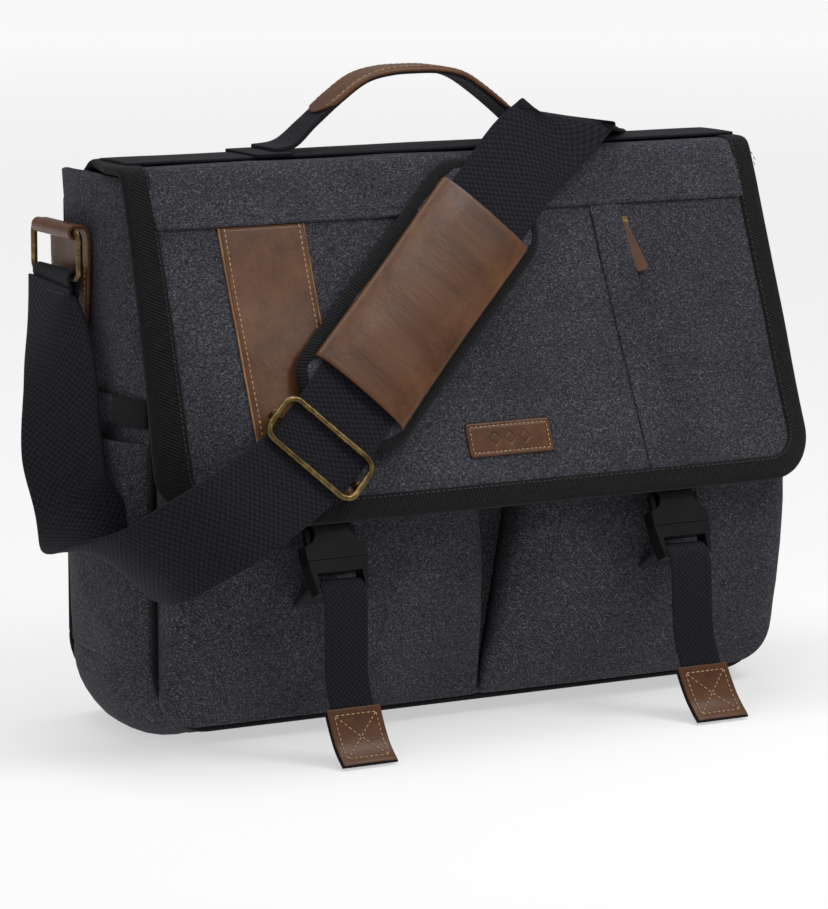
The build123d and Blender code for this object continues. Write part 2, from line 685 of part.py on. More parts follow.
for side, x in (("left", buckle_offset - buckle_x), ("right", buckle_offset + buckle_x)):
    place = buckle_plane(x)
    outer = arm if side == "right" else mirrored(arm)
    save("socket_" + side, place * socket)
    save("plug_" + side, place * plug)
    save("plug_arm_" + side + "_outer", place * outer)
    save("plug_arm_" + side + "_inner", place * mirrored(outer))
    save("anchor_webbing_" + side, Pos(x, 0, 0) * anchor)
    save("tail_webbing_" + side, Pos(x, 0, 0) * tail)
    save("tail_tip_" + side, Pos(x, 0, 0) * tip)
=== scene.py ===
import math

import bmesh
import bpy
from mathutils import Matrix, Vector, noise


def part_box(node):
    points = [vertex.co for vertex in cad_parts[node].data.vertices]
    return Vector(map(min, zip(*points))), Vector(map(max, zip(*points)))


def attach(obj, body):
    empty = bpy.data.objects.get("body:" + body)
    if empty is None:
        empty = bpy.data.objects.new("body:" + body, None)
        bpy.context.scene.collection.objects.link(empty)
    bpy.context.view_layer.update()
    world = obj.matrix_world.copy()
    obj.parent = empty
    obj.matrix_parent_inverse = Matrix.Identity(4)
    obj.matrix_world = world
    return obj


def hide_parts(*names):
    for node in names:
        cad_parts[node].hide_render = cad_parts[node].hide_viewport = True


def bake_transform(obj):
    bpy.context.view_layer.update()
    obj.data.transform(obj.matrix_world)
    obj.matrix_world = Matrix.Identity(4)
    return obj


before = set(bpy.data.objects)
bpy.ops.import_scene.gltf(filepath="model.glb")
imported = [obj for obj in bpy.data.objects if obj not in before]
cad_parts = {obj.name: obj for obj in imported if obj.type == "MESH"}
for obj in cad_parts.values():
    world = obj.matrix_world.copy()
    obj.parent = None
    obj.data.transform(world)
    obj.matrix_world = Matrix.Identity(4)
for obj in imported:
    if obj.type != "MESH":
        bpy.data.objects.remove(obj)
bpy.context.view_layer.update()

mm = 0.001
sides = {"left": -1, "right": 1}
print("stage: frame loaded,", len(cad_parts), "nodes")


def hexColour(code):
    parts = [int(code[i:i + 2], 16) / 255 for i in (1, 3, 5)]
    return [c / 12.92 if c <= 0.04045 else ((c + 0.055) / 1.055) ** 2.4 for c in parts] + [1]


# settings are the node's own choices and its inputs, by name or number; an input given a socket is linked to it
def addNode(tree, kind, settings=None, out=0):
    node = tree.nodes.new("ShaderNode" + kind)
    for name, value in (settings or {}).items():
        if name == "stops":
            elements = node.color_ramp.elements
            while len(elements) < len(value):
                elements.new(0.5)
            for element, (place, colour) in zip(elements, value):
                element.position, element.color = place, hexColour(colour)
        elif not isinstance(name, int) and name not in node.inputs:
            setattr(node, name, value)
        elif isinstance(value, bpy.types.NodeSocket):
            tree.links.new(value, node.inputs[name])
        else:
            node.inputs[name].default_value = value
    return node.outputs[out] if node.outputs else None


def startMaterial(name):
    material = bpy.data.materials.new(name)
    material.use_nodes = True
    material.node_tree.nodes.clear()
    return material, material.node_tree


def endMaterial(material, settings):
    shader = addNode(material.node_tree, "BsdfPrincipled", settings)
    addNode(material.node_tree, "OutputMaterial", {"Surface": shader})
    return material


def makeCanvas(name, dark, light, worn):
    # Washed cotton canvas, yarn dyed: pale flecks run both ways where the dye has gone from the tops of the threads.
    # The real yarn is about 0.5 mm; it is drawn at about 0.8 mm, so that it shows.
    material, tree = startMaterial(name)
    where = addNode(tree, "TexCoord", out="Object")
    yarns = []
    for scale in ((620, 620, 1500), (1500, 1500, 620)):
        run = addNode(tree, "Mapping", {"Scale": scale, "Vector": where})
        yarns.append(addNode(tree, "TexNoise", {"Scale": 1, "Detail": 2, "Roughness": 0.6, "Vector": run}))
    turn = 2 * math.pi / (1.9 * mm)
    slope = addNode(tree, "VectorMath", {"operation": "DOT_PRODUCT", 0: where, 1: (turn, turn, turn)}, "Value")
    rib = addNode(tree, "Math", {"operation": "SINE", 0: slope})
    raised = addNode(tree, "Math", {"operation": "MAXIMUM", 0: yarns[0], 1: yarns[1]})
    fleck = addNode(tree, "Math", {"operation": "MULTIPLY_ADD", 0: rib, 1: 0.02, 2: raised})
    patch = addNode(tree, "TexNoise", {"Scale": 13, "Detail": 4, "Roughness": 0.6, "Vector": where})
    tone = addNode(tree, "Math", {"operation": "MULTIPLY_ADD", 0: patch, 1: 0.16, 2: fleck})
    return endMaterial(material, {
        "Roughness": 0.95, "Specular IOR Level": 0.12, "Sheen Weight": 0.03, "Sheen Roughness": 0.5,
        "Base Color": addNode(tree, "ValToRGB", {"Fac": tone, "stops": [(0.48, dark), (0.66, light), (0.86, worn)]}),
        "Normal": addNode(tree, "Bump", {"Strength": 0.5, "Distance": 0.0005, "Height": fleck})})


def makeWebbing(name, dark, light, pitch, strength=0.8):
    # Woven nylon webbing, basket weave: small raised cells in rows. The pitch is in mm.
    material, tree = startMaterial(name)
    where = addNode(tree, "UVMap")
    turn = 2 * math.pi / (pitch * mm)
    waves = []
    for way in ((turn, 0, 0), (0, turn, 0)):
        run = addNode(tree, "VectorMath", {"operation": "DOT_PRODUCT", 0: where, 1: way}, "Value")
        waves.append(addNode(tree, "Math", {"operation": "SINE", 0: run}))
    cell = addNode(tree, "Math", {"operation": "MULTIPLY", 0: waves[0], 1: waves[1]})
    high = addNode(tree, "Math", {"operation": "MULTIPLY_ADD", 0: cell, 1: 0.3, 2: 0.3})
    fuzz = addNode(tree, "TexNoise", {"Scale": 420, "Detail": 3, "Roughness": 0.6, "Vector": where})
    tone = addNode(tree, "Math", {"operation": "MULTIPLY_ADD", 0: fuzz, 1: 0.5, 2: high})
    return endMaterial(material, {
        "Roughness": 0.8, "Specular IOR Level": 0.15, "Sheen Weight": 0.03,
        "Base Color": addNode(tree, "ValToRGB", {"Fac": tone, "stops": [(0.25, dark), (0.85, light)]}),
        "Normal": addNode(tree, "Bump", {"Strength": strength, "Distance": 0.0005, "Height": tone})})


def makeTwill(name, dark, light, pitch=1.9):
    # Cotton twill tape: fine diagonal ribs. The pitch is in mm.
    material, tree = startMaterial(name)
    where = addNode(tree, "UVMap")
    turn = 2 * math.pi / (pitch * mm)
    slope = addNode(tree, "VectorMath", {"operation": "DOT_PRODUCT", 0: where, 1: (turn, turn, 0)}, "Value")
    rib = addNode(tree, "Math", {"operation": "SINE", 0: slope})
    fuzz = addNode(tree, "TexNoise", {"Scale": 500, "Detail": 3, "Roughness": 0.6, "Vector": where})
    tone = addNode(tree, "Math", {"operation": "MULTIPLY_ADD", 0: rib, 1: 0.3, 2: fuzz})
    return endMaterial(material, {
        "Roughness": 0.9, "Specular IOR Level": 0.12, "Sheen Weight": 0.05,
        "Base Color": addNode(tree, "ValToRGB", {"Fac": tone, "stops": [(0.3, dark), (0.8, light)]}),
        "Normal": addNode(tree, "Bump", {"Strength": 0.7, "Distance": 0.0004, "Height": tone})})


def makeLeather(name, deep, middle, pale, source="uv", gloss=0.42):
    # Oiled pull-up leather: mottled where the oil has moved, with fine creases and a soft shine.
    material, tree = startMaterial(name)
    where = addNode(tree, "UVMap") if source == "uv" else addNode(tree, "TexCoord", out="Object")
    marks = []
    for scale, detail, rough in (((22, 30, 26), 5, 0.62), ((140, 90, 120), 4, 0.65)):
        run = addNode(tree, "Mapping", {"Scale": scale, "Vector": where})
        marks.append(addNode(tree, "TexNoise", {"Scale": 1, "Detail": detail, "Roughness": rough, "Vector": run}))
    cloud, vein = marks
    most = addNode(tree, "Math", {"operation": "MULTIPLY", 0: cloud, 1: 0.75})
    tone = addNode(tree, "Math", {"operation": "MULTIPLY_ADD", 0: vein, 1: 0.25, 2: most})
    grain = addNode(tree, "TexVoronoi", {"feature": "DISTANCE_TO_EDGE", "Scale": 900, "Vector": where})
    pores = addNode(tree, "Math", {"operation": "MULTIPLY", 0: grain, 1: 0.5})
    height = addNode(tree, "Math", {"operation": "MULTIPLY_ADD", 0: vein, 1: 1.5, 2: pores})
    return endMaterial(material, {
        "Specular IOR Level": 0.28, "Coat Weight": 0.03, "Coat Roughness": 0.4,
        "Base Color": addNode(tree, "ValToRGB", {"Fac": tone, "stops": [(0.36, deep), (0.5, middle), (0.66, pale)]}),
        "Roughness": addNode(tree, "MapRange", {"To Min": gloss - 0.1, "To Max": gloss + 0.16, "Value": cloud}),
        "Normal": addNode(tree, "Bump", {"Strength": 0.35, "Distance": 0.0004, "Height": height})})


def makeBrass(name):
    # Brass-plated steel wire with an antique brush finish: dark in the hollows, bright where it rubs.
    material, tree = startMaterial(name)
    where = addNode(tree, "TexCoord", out="Object")
    wear = addNode(tree, "TexNoise", {"Scale": 240, "Detail": 4, "Roughness": 0.6, "Vector": where})
    stops = [(0.3, "#3f3521"), (0.55, "#6c5a38"), (0.75, "#98835a")]
    return endMaterial(material, {
        "Metallic": 1, "Base Color": addNode(tree, "ValToRGB", {"Fac": wear, "stops": stops}),
        "Roughness": addNode(tree, "MapRange", {"To Min": 0.24, "To Max": 0.48, "Value": wear})})


def makePlastic(name, colour, pale):
    # Injection-moulded acetal with a fine spark-eroded texture: even and slightly satin.
    material, tree = startMaterial(name)
    where = addNode(tree, "TexCoord", out="Object")
    grain, cloud = [addNode(tree, "TexNoise", {"Scale": scale, "Detail": 2, "Roughness": 0.5, "Vector": where})
                    for scale in (1500, 60)]
    return endMaterial(material, {
        "Roughness": 0.4, "Specular IOR Level": 0.2, "IOR": 1.46,
        "Base Color": addNode(tree, "ValToRGB", {"Fac": cloud, "stops": [(0.3, colour), (0.7, pale)]}),
        "Normal": addNode(tree, "Bump", {"Strength": 0.2, "Distance": 0.0003, "Height": grain})})


def makeThread(name, colour, pale):
    # Bonded polyester sewing thread, two-ply: a little shine and a slight change of tone.
    material, tree = startMaterial(name)
    where = addNode(tree, "TexCoord", out="Object")
    tone = addNode(tree, "TexNoise", {"Scale": 700, "Detail": 2, "Roughness": 0.5, "Vector": where})
    return endMaterial(material, {
        "Roughness": 0.6, "Sheen Weight": 0.1,
        "Base Color": addNode(tree, "ValToRGB", {"Fac": tone, "stops": [(0.35, colour), (0.65, pale)]})})


def makeLining(name, dark, light):
    # Plain-woven polyester lining: smooth, with a faint even weave.
    material, tree = startMaterial(name)
    where = addNode(tree, "TexCoord", out="Object")
    weave, cloud = [addNode(tree, "TexNoise", {"Scale": scale, "Detail": detail, "Roughness": 0.5, "Vector": where})
                    for scale, detail in ((900, 2), (12, 3))]
    half = addNode(tree, "Math", {"operation": "MULTIPLY", 0: cloud, 1: 0.5})
    tone = addNode(tree, "Math", {"operation": "MULTIPLY_ADD", 0: weave, 1: 0.5, 2: half})
    return endMaterial(material, {
        "Roughness": 0.7, "Sheen Weight": 0.1,
        "Base Color": addNode(tree, "ValToRGB", {"Fac": tone, "stops": [(0.35, dark), (0.65, light)]}),
        "Normal": addNode(tree, "Bump", {"Strength": 0.25, "Distance": 0.0003, "Height": weave})})


canvas = makeCanvas("washedCanvas", "#1b1b20", "#37373d", "#6c6c72")
webbing = makeWebbing("wovenWebbing", "#07070b", "#1f1f27", 3.3, 1.0)
narrowWebbing = makeWebbing("narrowWebbing", "#07070b", "#1f1f27", 2.8, 1.0)
elasticRib = makeWebbing("ribbedElastic", "#0b0b0d", "#1a1a1d", 1.9)
twill = makeTwill("twillTape", "#0c0c0e", "#1f201f")
leather = makeLeather("oiledLeather", "#432715", "#583720", "#674429", gloss=0.36)
tabLeather = makeLeather("oiledTabLeather", "#38220f", "#4c2e1a", "#5f3e25", source="object")
cutEdge = makeLeather("cutLeatherEdge", "#6d4a2f", "#8c6543", "#a98158", source="object", gloss=0.6)
brass = makeBrass("antiqueBrass")
plastic = makePlastic("mouldedAcetal", "#0b0b0c", "#101112")
tanThread = makeThread("tanThread", "#9c7852", "#c2a27c")
darkThread = makeThread("darkThread", "#1a1a1e", "#2e2e34")
greyThread = makeThread("greyThread", "#24252b", "#3d3e46")
liningCloth = makeLining("wovenLining", "#5f5446", "#776a59")
plainTape = makeLining("wovenTape", "#141417", "#222226")
print("stage: materials made")


def ripple(x, y, z, size):  # soft unevenness, in lumps of about that size in metres
    return noise.noise(Vector((x / size, y / size, z / size))) * 1.6


# a grid bent by place, which takes shares across and along; size is what its pattern measures, in metres
def sheetOf(across, along, place, size):
    bm = bmesh.new()
    bmesh.ops.create_grid(bm, x_segments=across, y_segments=along, size=0.5)
    cloth = bm.loops.layers.uv.new("cloth")
    for face in bm.faces:
        for loop in face.loops:
            loop[cloth].uv = ((loop.vert.co.x + 0.5) * size[0], (loop.vert.co.y + 0.5) * size[1])
    for vert in bm.verts:
        vert.co = place(vert.co.x + 0.5, vert.co.y + 0.5)
    return bm


def faceTowards(bm, way):
    bm.normal_update()
    total = sum((face.normal * face.calc_area() for face in bm.faces), Vector())
    if total.dot(Vector(way)) < 0:
        bmesh.ops.reverse_faces(bm, faces=bm.faces)


# reverses a curled sheet where its face that lies furthest along way points the other way
def faceAtEnd(bm, way, outward=None):
    way = Vector(way)
    bm.normal_update()
    end = max(bm.faces, key=lambda face: face.calc_center_median().dot(way))
    if end.normal.dot(Vector(outward) if outward else way) < 0:
        bmesh.ops.reverse_faces(bm, faces=bm.faces)


def finishPiece(bm, name, material, thickness=0, offset=-1.0, bevel=0):
    mesh = bpy.data.meshes.new(name)
    bm.to_mesh(mesh)
    bm.free()
    piece = bpy.data.objects.new(name, mesh)
    bpy.context.scene.collection.objects.link(piece)
    mesh.materials.append(material)
    for polygon in mesh.polygons:
        polygon.use_smooth = True
    if thickness:
        wall = piece.modifiers.new("wall", "SOLIDIFY")
        wall.thickness, wall.offset = thickness, offset
    if bevel:
        edge = piece.modifiers.new("edge", "BEVEL")
        edge.width, edge.segments, edge.limit_method = bevel, 2, "ANGLE"
    if thickness or bevel:
        applyModifiers(piece)
    return piece


def applyModifiers(piece):
    before = piece.data
    ready = piece.evaluated_get(bpy.context.evaluated_depsgraph_get())
    done = bpy.data.meshes.new_from_object(ready)
    piece.modifiers.clear()
    piece.data = done
    bpy.data.meshes.remove(before)
    done.name = piece.name
    return done


def settle(piece, body, slot, *nodes):
    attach(piece, body)
    if nodes:
        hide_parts(*nodes)
    return piece


# a finished piece from a bent grid; rides is its body, its slot, which is not used, and the nodes that it stands for
def layCloth(name, cells, place, size, towards, material, rides, **finish):
    bm = sheetOf(*cells, place, size)
    if towards:
        faceTowards(bm, towards)
    return settle(finishPiece(bm, name, material, **finish), *rides)


def smoothRows(rows, parts):  # rows of any numbers, joined by a smooth line in that many parts a gap
    fine, last = [], len(rows) - 1
    for index in range(last):
        near = rows[max(index - 1, 0)], rows[index], rows[index + 1], rows[min(index + 2, last)]
        for part in range(parts):
            t = part / parts
            fine.append([0.5 * (2 * b + (c - a) * t + (2 * a - 5 * b + 4 * c - d) * t * t
                                + (3 * b - a - 3 * c + d) * t ** 3) for a, b, c, d in zip(*near)])
    return fine + [list(rows[-1])]


def distances(line):
    lengths = [0.0]
    for a, b in zip(line, line[1:]):
        lengths.append(lengths[-1] + math.dist(a[:3], b[:3]))
    return lengths


def between(rows, lengths, target):  # the place on a line at a distance from its start
    index = 0
    while index < len(lengths) - 2 and lengths[index + 1] < target:
        index += 1
    gap = lengths[index + 1] - lengths[index]
    share = (target - lengths[index]) / gap if gap > 0 else 0
    return [a + (b - a) * share for a, b in zip(rows[index], rows[index + 1])]


def evenly(fine, step):  # the same line in even steps, and its length
    lengths = distances(fine)
    count = max(2, round(lengths[-1] / step))
    return [between(fine, lengths, lengths[-1] * part / count) for part in range(count + 1)], lengths[-1]


def pick(points, share):  # the place part way along evenly spaced points
    place = min(max(share, 0), 1) * (len(points) - 1)
    index = min(int(place), len(points) - 2)
    return [a + (b - a) * (place - index) for a, b in zip(points[index], points[index + 1])]


def lineAt(points, target):  # the second number at a first one, along straight runs
    for (d0, x0), (d1, x1) in zip(points, points[1:]):
        if target <= d1:
            return x0 + (x1 - x0) * (target - d0) / (d1 - d0)
    return points[-1][1]


# rows are pairs of a line, as a function of a share, and its length in metres; pitch and thread are in mm
def stitches(name, rows, material, body, slot, pitch=4.2, thread=0.55):
    bm = bmesh.new()
    for place, length in rows:
        count = max(1, int(length / (pitch * mm)))
        for index in range(count):
            a, b = Vector(place((index + 0.15) / count)), Vector(place((index + 0.85) / count))
            turn = (b - a).to_track_quat("X", "Z").to_matrix().to_4x4()
            shape = Matrix.Diagonal((thread * mm / 2, thread * mm / 2, (b - a).length / 2, 1))
            bmesh.ops.create_uvsphere(bm, u_segments=6, v_segments=4, radius=1, matrix=Matrix.Translation((a + b) / 2)
                                      @ turn @ Matrix.Rotation(math.pi / 2, 4, "Y") @ shape)
    return settle(finishPiece(bm, name, material), body, slot)


def tubeAlong(name, points, radius, material, around=10):  # piping on a line of places
    bm = bmesh.new()
    last, pace, uvs = None, 0.0, {}
    for index, point in enumerate(points):
        here = Vector(point)
        way = Vector(points[min(index + 1, len(points) - 1)]) - Vector(points[max(index - 1, 0)])
        matrix = Matrix.Translation(here) @ way.to_track_quat("Z", "Y").to_matrix().to_4x4()
        ring = bmesh.ops.create_circle(bm, segments=around, radius=radius, matrix=matrix)["verts"]
        if last:
            pace += (here - Vector(points[index - 1])).length
            for side in range(around):
                other = (side + 1) % around
                bm.faces.new((last[side], last[other], ring[other], ring[side]))
        for side, vert in enumerate(ring):
            uvs[vert] = (pace, side / around * 2 * math.pi * radius)
        last = ring
    cloth = bm.loops.layers.uv.new("cloth")
    for face in bm.faces:
        for loop in face.loops:
            loop[cloth].uv = uvs[loop.vert]
    bmesh.ops.holes_fill(bm, edges=bm.edges, sides=around)
    bmesh.ops.recalc_face_normals(bm, faces=bm.faces)
    return finishPiece(bm, name, material)


def softened(node, name, material, width):  # a copy of a CAD node with its sharp edges rounded
    bm = bmesh.new()
    bm.from_mesh(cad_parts[node].data)
    bmesh.ops.remove_doubles(bm, verts=bm.verts, dist=0.00002)
    bmesh.ops.dissolve_limit(bm, angle_limit=0.02, verts=bm.verts, edges=bm.edges)
    piece = finishPiece(bm, name, material)
    if width:
        edge = piece.modifiers.new("edge", "BEVEL")
        edge.width, edge.segments, edge.limit_method, edge.angle_limit = width, 2, "ANGLE", math.radians(35)
        piece.modifiers.new("weighted", "WEIGHTED_NORMAL").keep_sharp = True
    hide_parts(node)
    return piece


camera = {"azimuth": -28.6, "height": 9.6, "distance": 2375, "lens": 171.15, "target": (-7.5, 0, 135.8)}


def placeCamera():
    side, rise = math.radians(camera["azimuth"]), math.radians(camera["height"])
    back = Vector((math.sin(side) * math.cos(rise), -math.cos(side) * math.cos(rise), math.sin(rise)))
    data = bpy.data.cameras.new("camera")
    data.lens = camera["lens"]
    data.sensor_width = 36
    data.clip_end = 50
    seen = bpy.data.objects.new("camera", data)
    seen.location = Vector(camera["target"]) * mm + back * camera["distance"] * mm
    seen.rotation_euler = (-back).to_track_quat("-Z", "Y").to_euler()
    bpy.context.scene.collection.objects.link(seen)
    bpy.context.scene.camera = seen


placeCamera()

studio = {
    "world": 0.36,
    "floor": "#b4b4b4",
    "glow": (0.52, 0.77),
    "lights": [  # name, place in metres, size, watts
        ("keySoftbox", (0.46, -0.56, 1.06), 0.42, 5.2),
        ("fillSoftbox", (-2.6, -1.8, 2.0), 1.4, 11),
        ("topSoftbox", (-0.3, 0.3, 2.8), 1.8, 36),
    ],
}


def makeStudio():
    scene = bpy.context.scene
    scene.view_settings.view_transform = "Standard"
    world = bpy.data.worlds.new("studio")
    world.use_nodes = True
    backdrop = world.node_tree.nodes["Background"]
    backdrop.inputs[0].default_value, backdrop.inputs[1].default_value = hexColour("#ffffff"), studio["world"]
    scene.world = world
    for name, place, size, watts in studio["lights"]:
        data = bpy.data.lights.new(name, "AREA")
        data.size = size
        data.energy = watts
        lamp = bpy.data.objects.new(name, data)
        lamp.location = place
        lamp.rotation_euler = (Vector((0, 0, 0.15)) - lamp.location).to_track_quat("-Z", "Y").to_euler()
        scene.collection.objects.link(lamp)
    # matt paper lit from behind, a little more towards the horizon
    material, tree = startMaterial("paperSweep")
    far = addNode(tree, "VectorMath", {"operation": "LENGTH", 0: addNode(tree, "TexCoord", out="Object")}, "Value")
    low, high = studio["glow"]
    endMaterial(material, {
        "Base Color": hexColour(studio["floor"]), "Roughness": 1, "Specular IOR Level": 0,
        "Emission Color": hexColour("#ffffff"), "Emission Strength": addNode(tree, "MapRange", {
            "From Min": 0.6, "From Max": 5, "To Min": low, "To Max": high, "Value": far})})
    bm = bmesh.new()
    bmesh.ops.create_grid(bm, x_segments=1, y_segments=1, size=12)
    finishPiece(bm, "studioFloor", material)


makeStudio()
print("stage: camera and studio set")


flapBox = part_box("flap_panel")
flapFront = (0, -1, 0.5)  # roughly the way that its front faces
flapCorner = Vector((0, -28, 304))  # where its top turns down into its front, in mm
flapShape = {
    "halfWidth": 188, "reach": 77, "drop": 180, "backRound": 12, "frontRound": 9, "corner": 28,
    "waves": 1.2, "bindingWidth": 13, "edgeBend": 26, "edgeSpread": 8,
}
flapTopZ = flapBox[1].z
hingeY = flapBox[1].y
hemSlope = math.hypot(flapShape["drop"], flapShape["reach"])


# a side profile through corners, each rounded by its radius, as evenly spaced places (y, z)
def roundedLine(corners, radii, step):
    fine = [corners[0]]
    for before, corner, after, radius in zip(corners, corners[1:], corners[2:], radii):
        a, b = Vector(before) - Vector(corner), Vector(after) - Vector(corner)
        half = a.angle(b) / 2
        cut = min(radius / math.tan(half), a.length * 0.48, b.length * 0.48)
        start, end = Vector(corner) + a.normalized() * cut, Vector(corner) + b.normalized() * cut
        for part in range(9):
            t = part / 8
            fine.append(tuple((1 - t) ** 2 * start + 2 * t * (1 - t) * Vector(corner) + t * t * end))
    fine.append(corners[-1])
    return evenly([list(p) for p in fine], step)


flapLine, flapLength = roundedLine(
    [(hingeY, 0.2860), (0.028, flapTopZ), (-0.028, flapTopZ), (-0.105, flapTopZ - 0.180)],
    [flapShape["backRound"] * mm, flapShape["frontRound"] * mm], 0.0015)
frontEdge = flapLength - hemSlope * mm  # where the top turns down into the front, measured from the hinge


# a place over the flap: x in mm, drop down the front from the top edge, negative back over the top, lift out
def flapPlace(x, drop, lift):
    share = (frontEdge + drop * mm) / flapLength
    y, z = pick(flapLine, share)
    ya, za = pick(flapLine, share - 0.004)
    yb, zb = pick(flapLine, share + 0.004)
    way = Vector((0, yb - ya, zb - za)).normalized()
    out = Vector((0, way.z, -way.y))
    if share > 1:
        extra = (share - 1) * flapLength
        y, z = y + way.y * extra, z + way.z * extra
    aside = max(0.0, min(1.0, (abs(x) - 140) / 48)) * (1 if x < 0 else 0.15) ** 0.5
    low = max(0.0, min(1.0, (drop + 50) / 30))
    bend = flapShape["edgeBend"] * (max(drop, 0) / 165) ** 1.3 * aside ** 2 * mm
    x += math.copysign(flapShape["edgeSpread"] * aside ** 1.5 * low, x)
    lean = max(0.0, min(1.0, (drop + 40) / 60))
    wave = ripple(x * mm, drop * mm, 3.1, 0.075) * flapShape["waves"] * mm * lean
    wave += ripple(x * mm, drop * mm, 7.7, 0.03) * 0.25 * mm
    return Vector((x * mm, y + bend, z)) + out * (lift * mm + wave)


# half the flap's width at a drop, with its lower corners rounded
def flapHalf(drop, inset=0.0, radius=None):
    radius = (flapShape["corner"] if radius is None else radius) - inset
    half = flapShape["halfWidth"] - inset
    left = hemSlope - inset - drop
    if left >= radius:
        return half
    left = max(left, 0)
    return half - radius + math.sqrt(max(radius ** 2 - (radius - left) ** 2, 0))


topStart = -frontEdge / mm  # drop at the hinge


# drops that crowd towards the hem, so the rounded corners are smooth
def edgeDrop(share, low, high, power=1.6):
    return low + (high - low) * (1 - (1 - share) ** power)


def makeFlap():
    inset = 1.2

    def place(u, v):
        drop = edgeDrop(v, topStart, hemSlope - inset)
        return flapPlace((2 * u - 1) * flapHalf(drop, inset), drop, 0)

    layCloth("flapCanvas", (150, 150), place, (0.374, flapLength), flapFront, canvas,
             ("flap", "canvas", "flap_panel"), thickness=2.9 * mm)

    def inner(u, v):
        drop = edgeDrop(v, topStart + 2, hemSlope - 4)
        return flapPlace((2 * u - 1) * flapHalf(drop, 4), drop, -3.05)

    layCloth("flapInnerCloth", (60, 80), inner, (0.37, flapLength), (0, 1, -0.5), liningCloth,
             ("flap", "lining", "flap_lining"), thickness=0.3 * mm, offset=0)


# the flap's edge from the hinge at the left, round both corners, to the hinge at the right, as (x, drop)
def bindingOutline(inset):
    radius = flapShape["corner"] - inset
    half, end = flapShape["halfWidth"] - inset, hemSlope - inset
    line = [(-half, topStart + 3), (-half, end - radius)]
    for sign, first in ((-1, math.pi), (1, -math.pi / 2)):
        for step in range(1, 12):
            turn = first + math.pi / 2 * step / 12
            line.append((sign * (half - radius) + radius * math.cos(turn), end - radius - radius * math.sin(turn)))
        if sign < 0:
            line += [(-half + radius, end), (half - radius, end)]
    return line + [(half, end - radius), (half, topStart + 3)]


def makeBinding():
    lengths = distances(bindingOutline(0))
    total = lengths[-1]

    def onOutline(share, inset):
        return between(bindingOutline(inset), lengths, share * total)

    width = flapShape["bindingWidth"]
    section = [(width, 0.15), (width - 0.5, 0.95), (width * 0.5, 1.15), (2.0, 1.1), (0.6, 0.6), (0.0, -0.6),
               (0.0, -2.2), (0.6, -3.5), (2.0, -3.9), (width * 0.5, -3.9), (width - 1, -3.7), (width - 0.6, -3.2)]

    def place(u, v):
        inset, lift = pick(section, u)
        x, drop = onOutline(v, inset)
        return flapPlace(x, drop, lift)

    bm = sheetOf(len(section) * 2, 420, place, (0.034, total * mm))
    bmesh.ops.recalc_face_normals(bm, faces=bm.faces)
    faceAtEnd(bm, (0, -1, 0))
    settle(finishPiece(bm, "flapBinding", twill, thickness=0.5 * mm), "flap", "twill", "flap_binding")
    seam = [(lambda t: flapPlace(*onOutline(t, width - 1.8), 1.15), total * mm)]
    stitches("bindingStitches", seam, darkThread, "flap", "twill", pitch=3.2)


yokeShape = {
    "rows": (28.6, 31.6),  # drops of its two seams
    "section": [(-2, 0.0), (0, 0.75), (10, 0.9), (24, 1.2), (27, 1.5), (31, 1.7), (33.4, 2.0), (34.2, 1.5),
                (34.0, 0.1)],
}


def makeYoke():
    half = flapShape["halfWidth"] - flapShape["bindingWidth"] + 1.5

    def place(u, v):
        drop, lift = pick(yokeShape["section"], v)
        return flapPlace((2 * u - 1) * half, drop, lift)

    layCloth("flapYoke", (140, 28), place, (2 * half * mm, 0.036), flapFront, canvas,
             ("flap", "canvas", "flap_yoke"))
    rows = [(lambda t, d=drop: flapPlace((2 * t - 1) * half, d, 1.75), 2 * half * mm) for drop in yokeShape["rows"]]
    stitches("yokeStitches", rows, greyThread, "flap", "canvas", pitch=3.4, thread=0.5)


stripeShape = {"left": -147, "right": -97, "top": 34.6, "thick": 1.1, "sewn": 3.2}


def makeStripe():
    s = stripeShape
    wide = s["right"] - s["left"]
    long = hemSlope - flapShape["bindingWidth"] + 1 - s["top"]

    def place(u, v):
        edge = min(u, 1 - u) * wide
        return flapPlace(s["left"] + wide * u, s["top"] + long * v,
                         s["thick"] - 0.5 * max(0, 1 - edge / 0.8) + 0.25 * math.sin(math.pi * u))

    layCloth("flapStripe", (40, 70), place, (0.05, long * mm), flapFront, leather,
             ("flap", "leather", "leather_stripe"), thickness=1.0 * mm)
    rows = [(lambda t, x=x: flapPlace(x, s["top"] + long * t, 1.35), long * mm)
            for x in (s["left"] + s["sewn"], s["right"] - s["sewn"])]
    stitches("stripeStitches", rows, tanThread, "flap", "leather", pitch=3.0, thread=0.8)
    for x, part in ((s["left"] + 0.3, "Left"), (s["right"] - 0.3, "Right")):
        line = [flapPlace(x, s["top"] + long * t / 40, s["thick"] - 0.35) for t in range(41)]
        settle(tubeAlong("stripeEdge" + part, line, 0.55 * mm, cutEdge, 6), "flap", "leather")


patchShape = {"middle": 0.5, "width": 51, "top": 150, "height": 18.5, "thick": 1.5, "sewn": 2.2, "corner": 2.5}


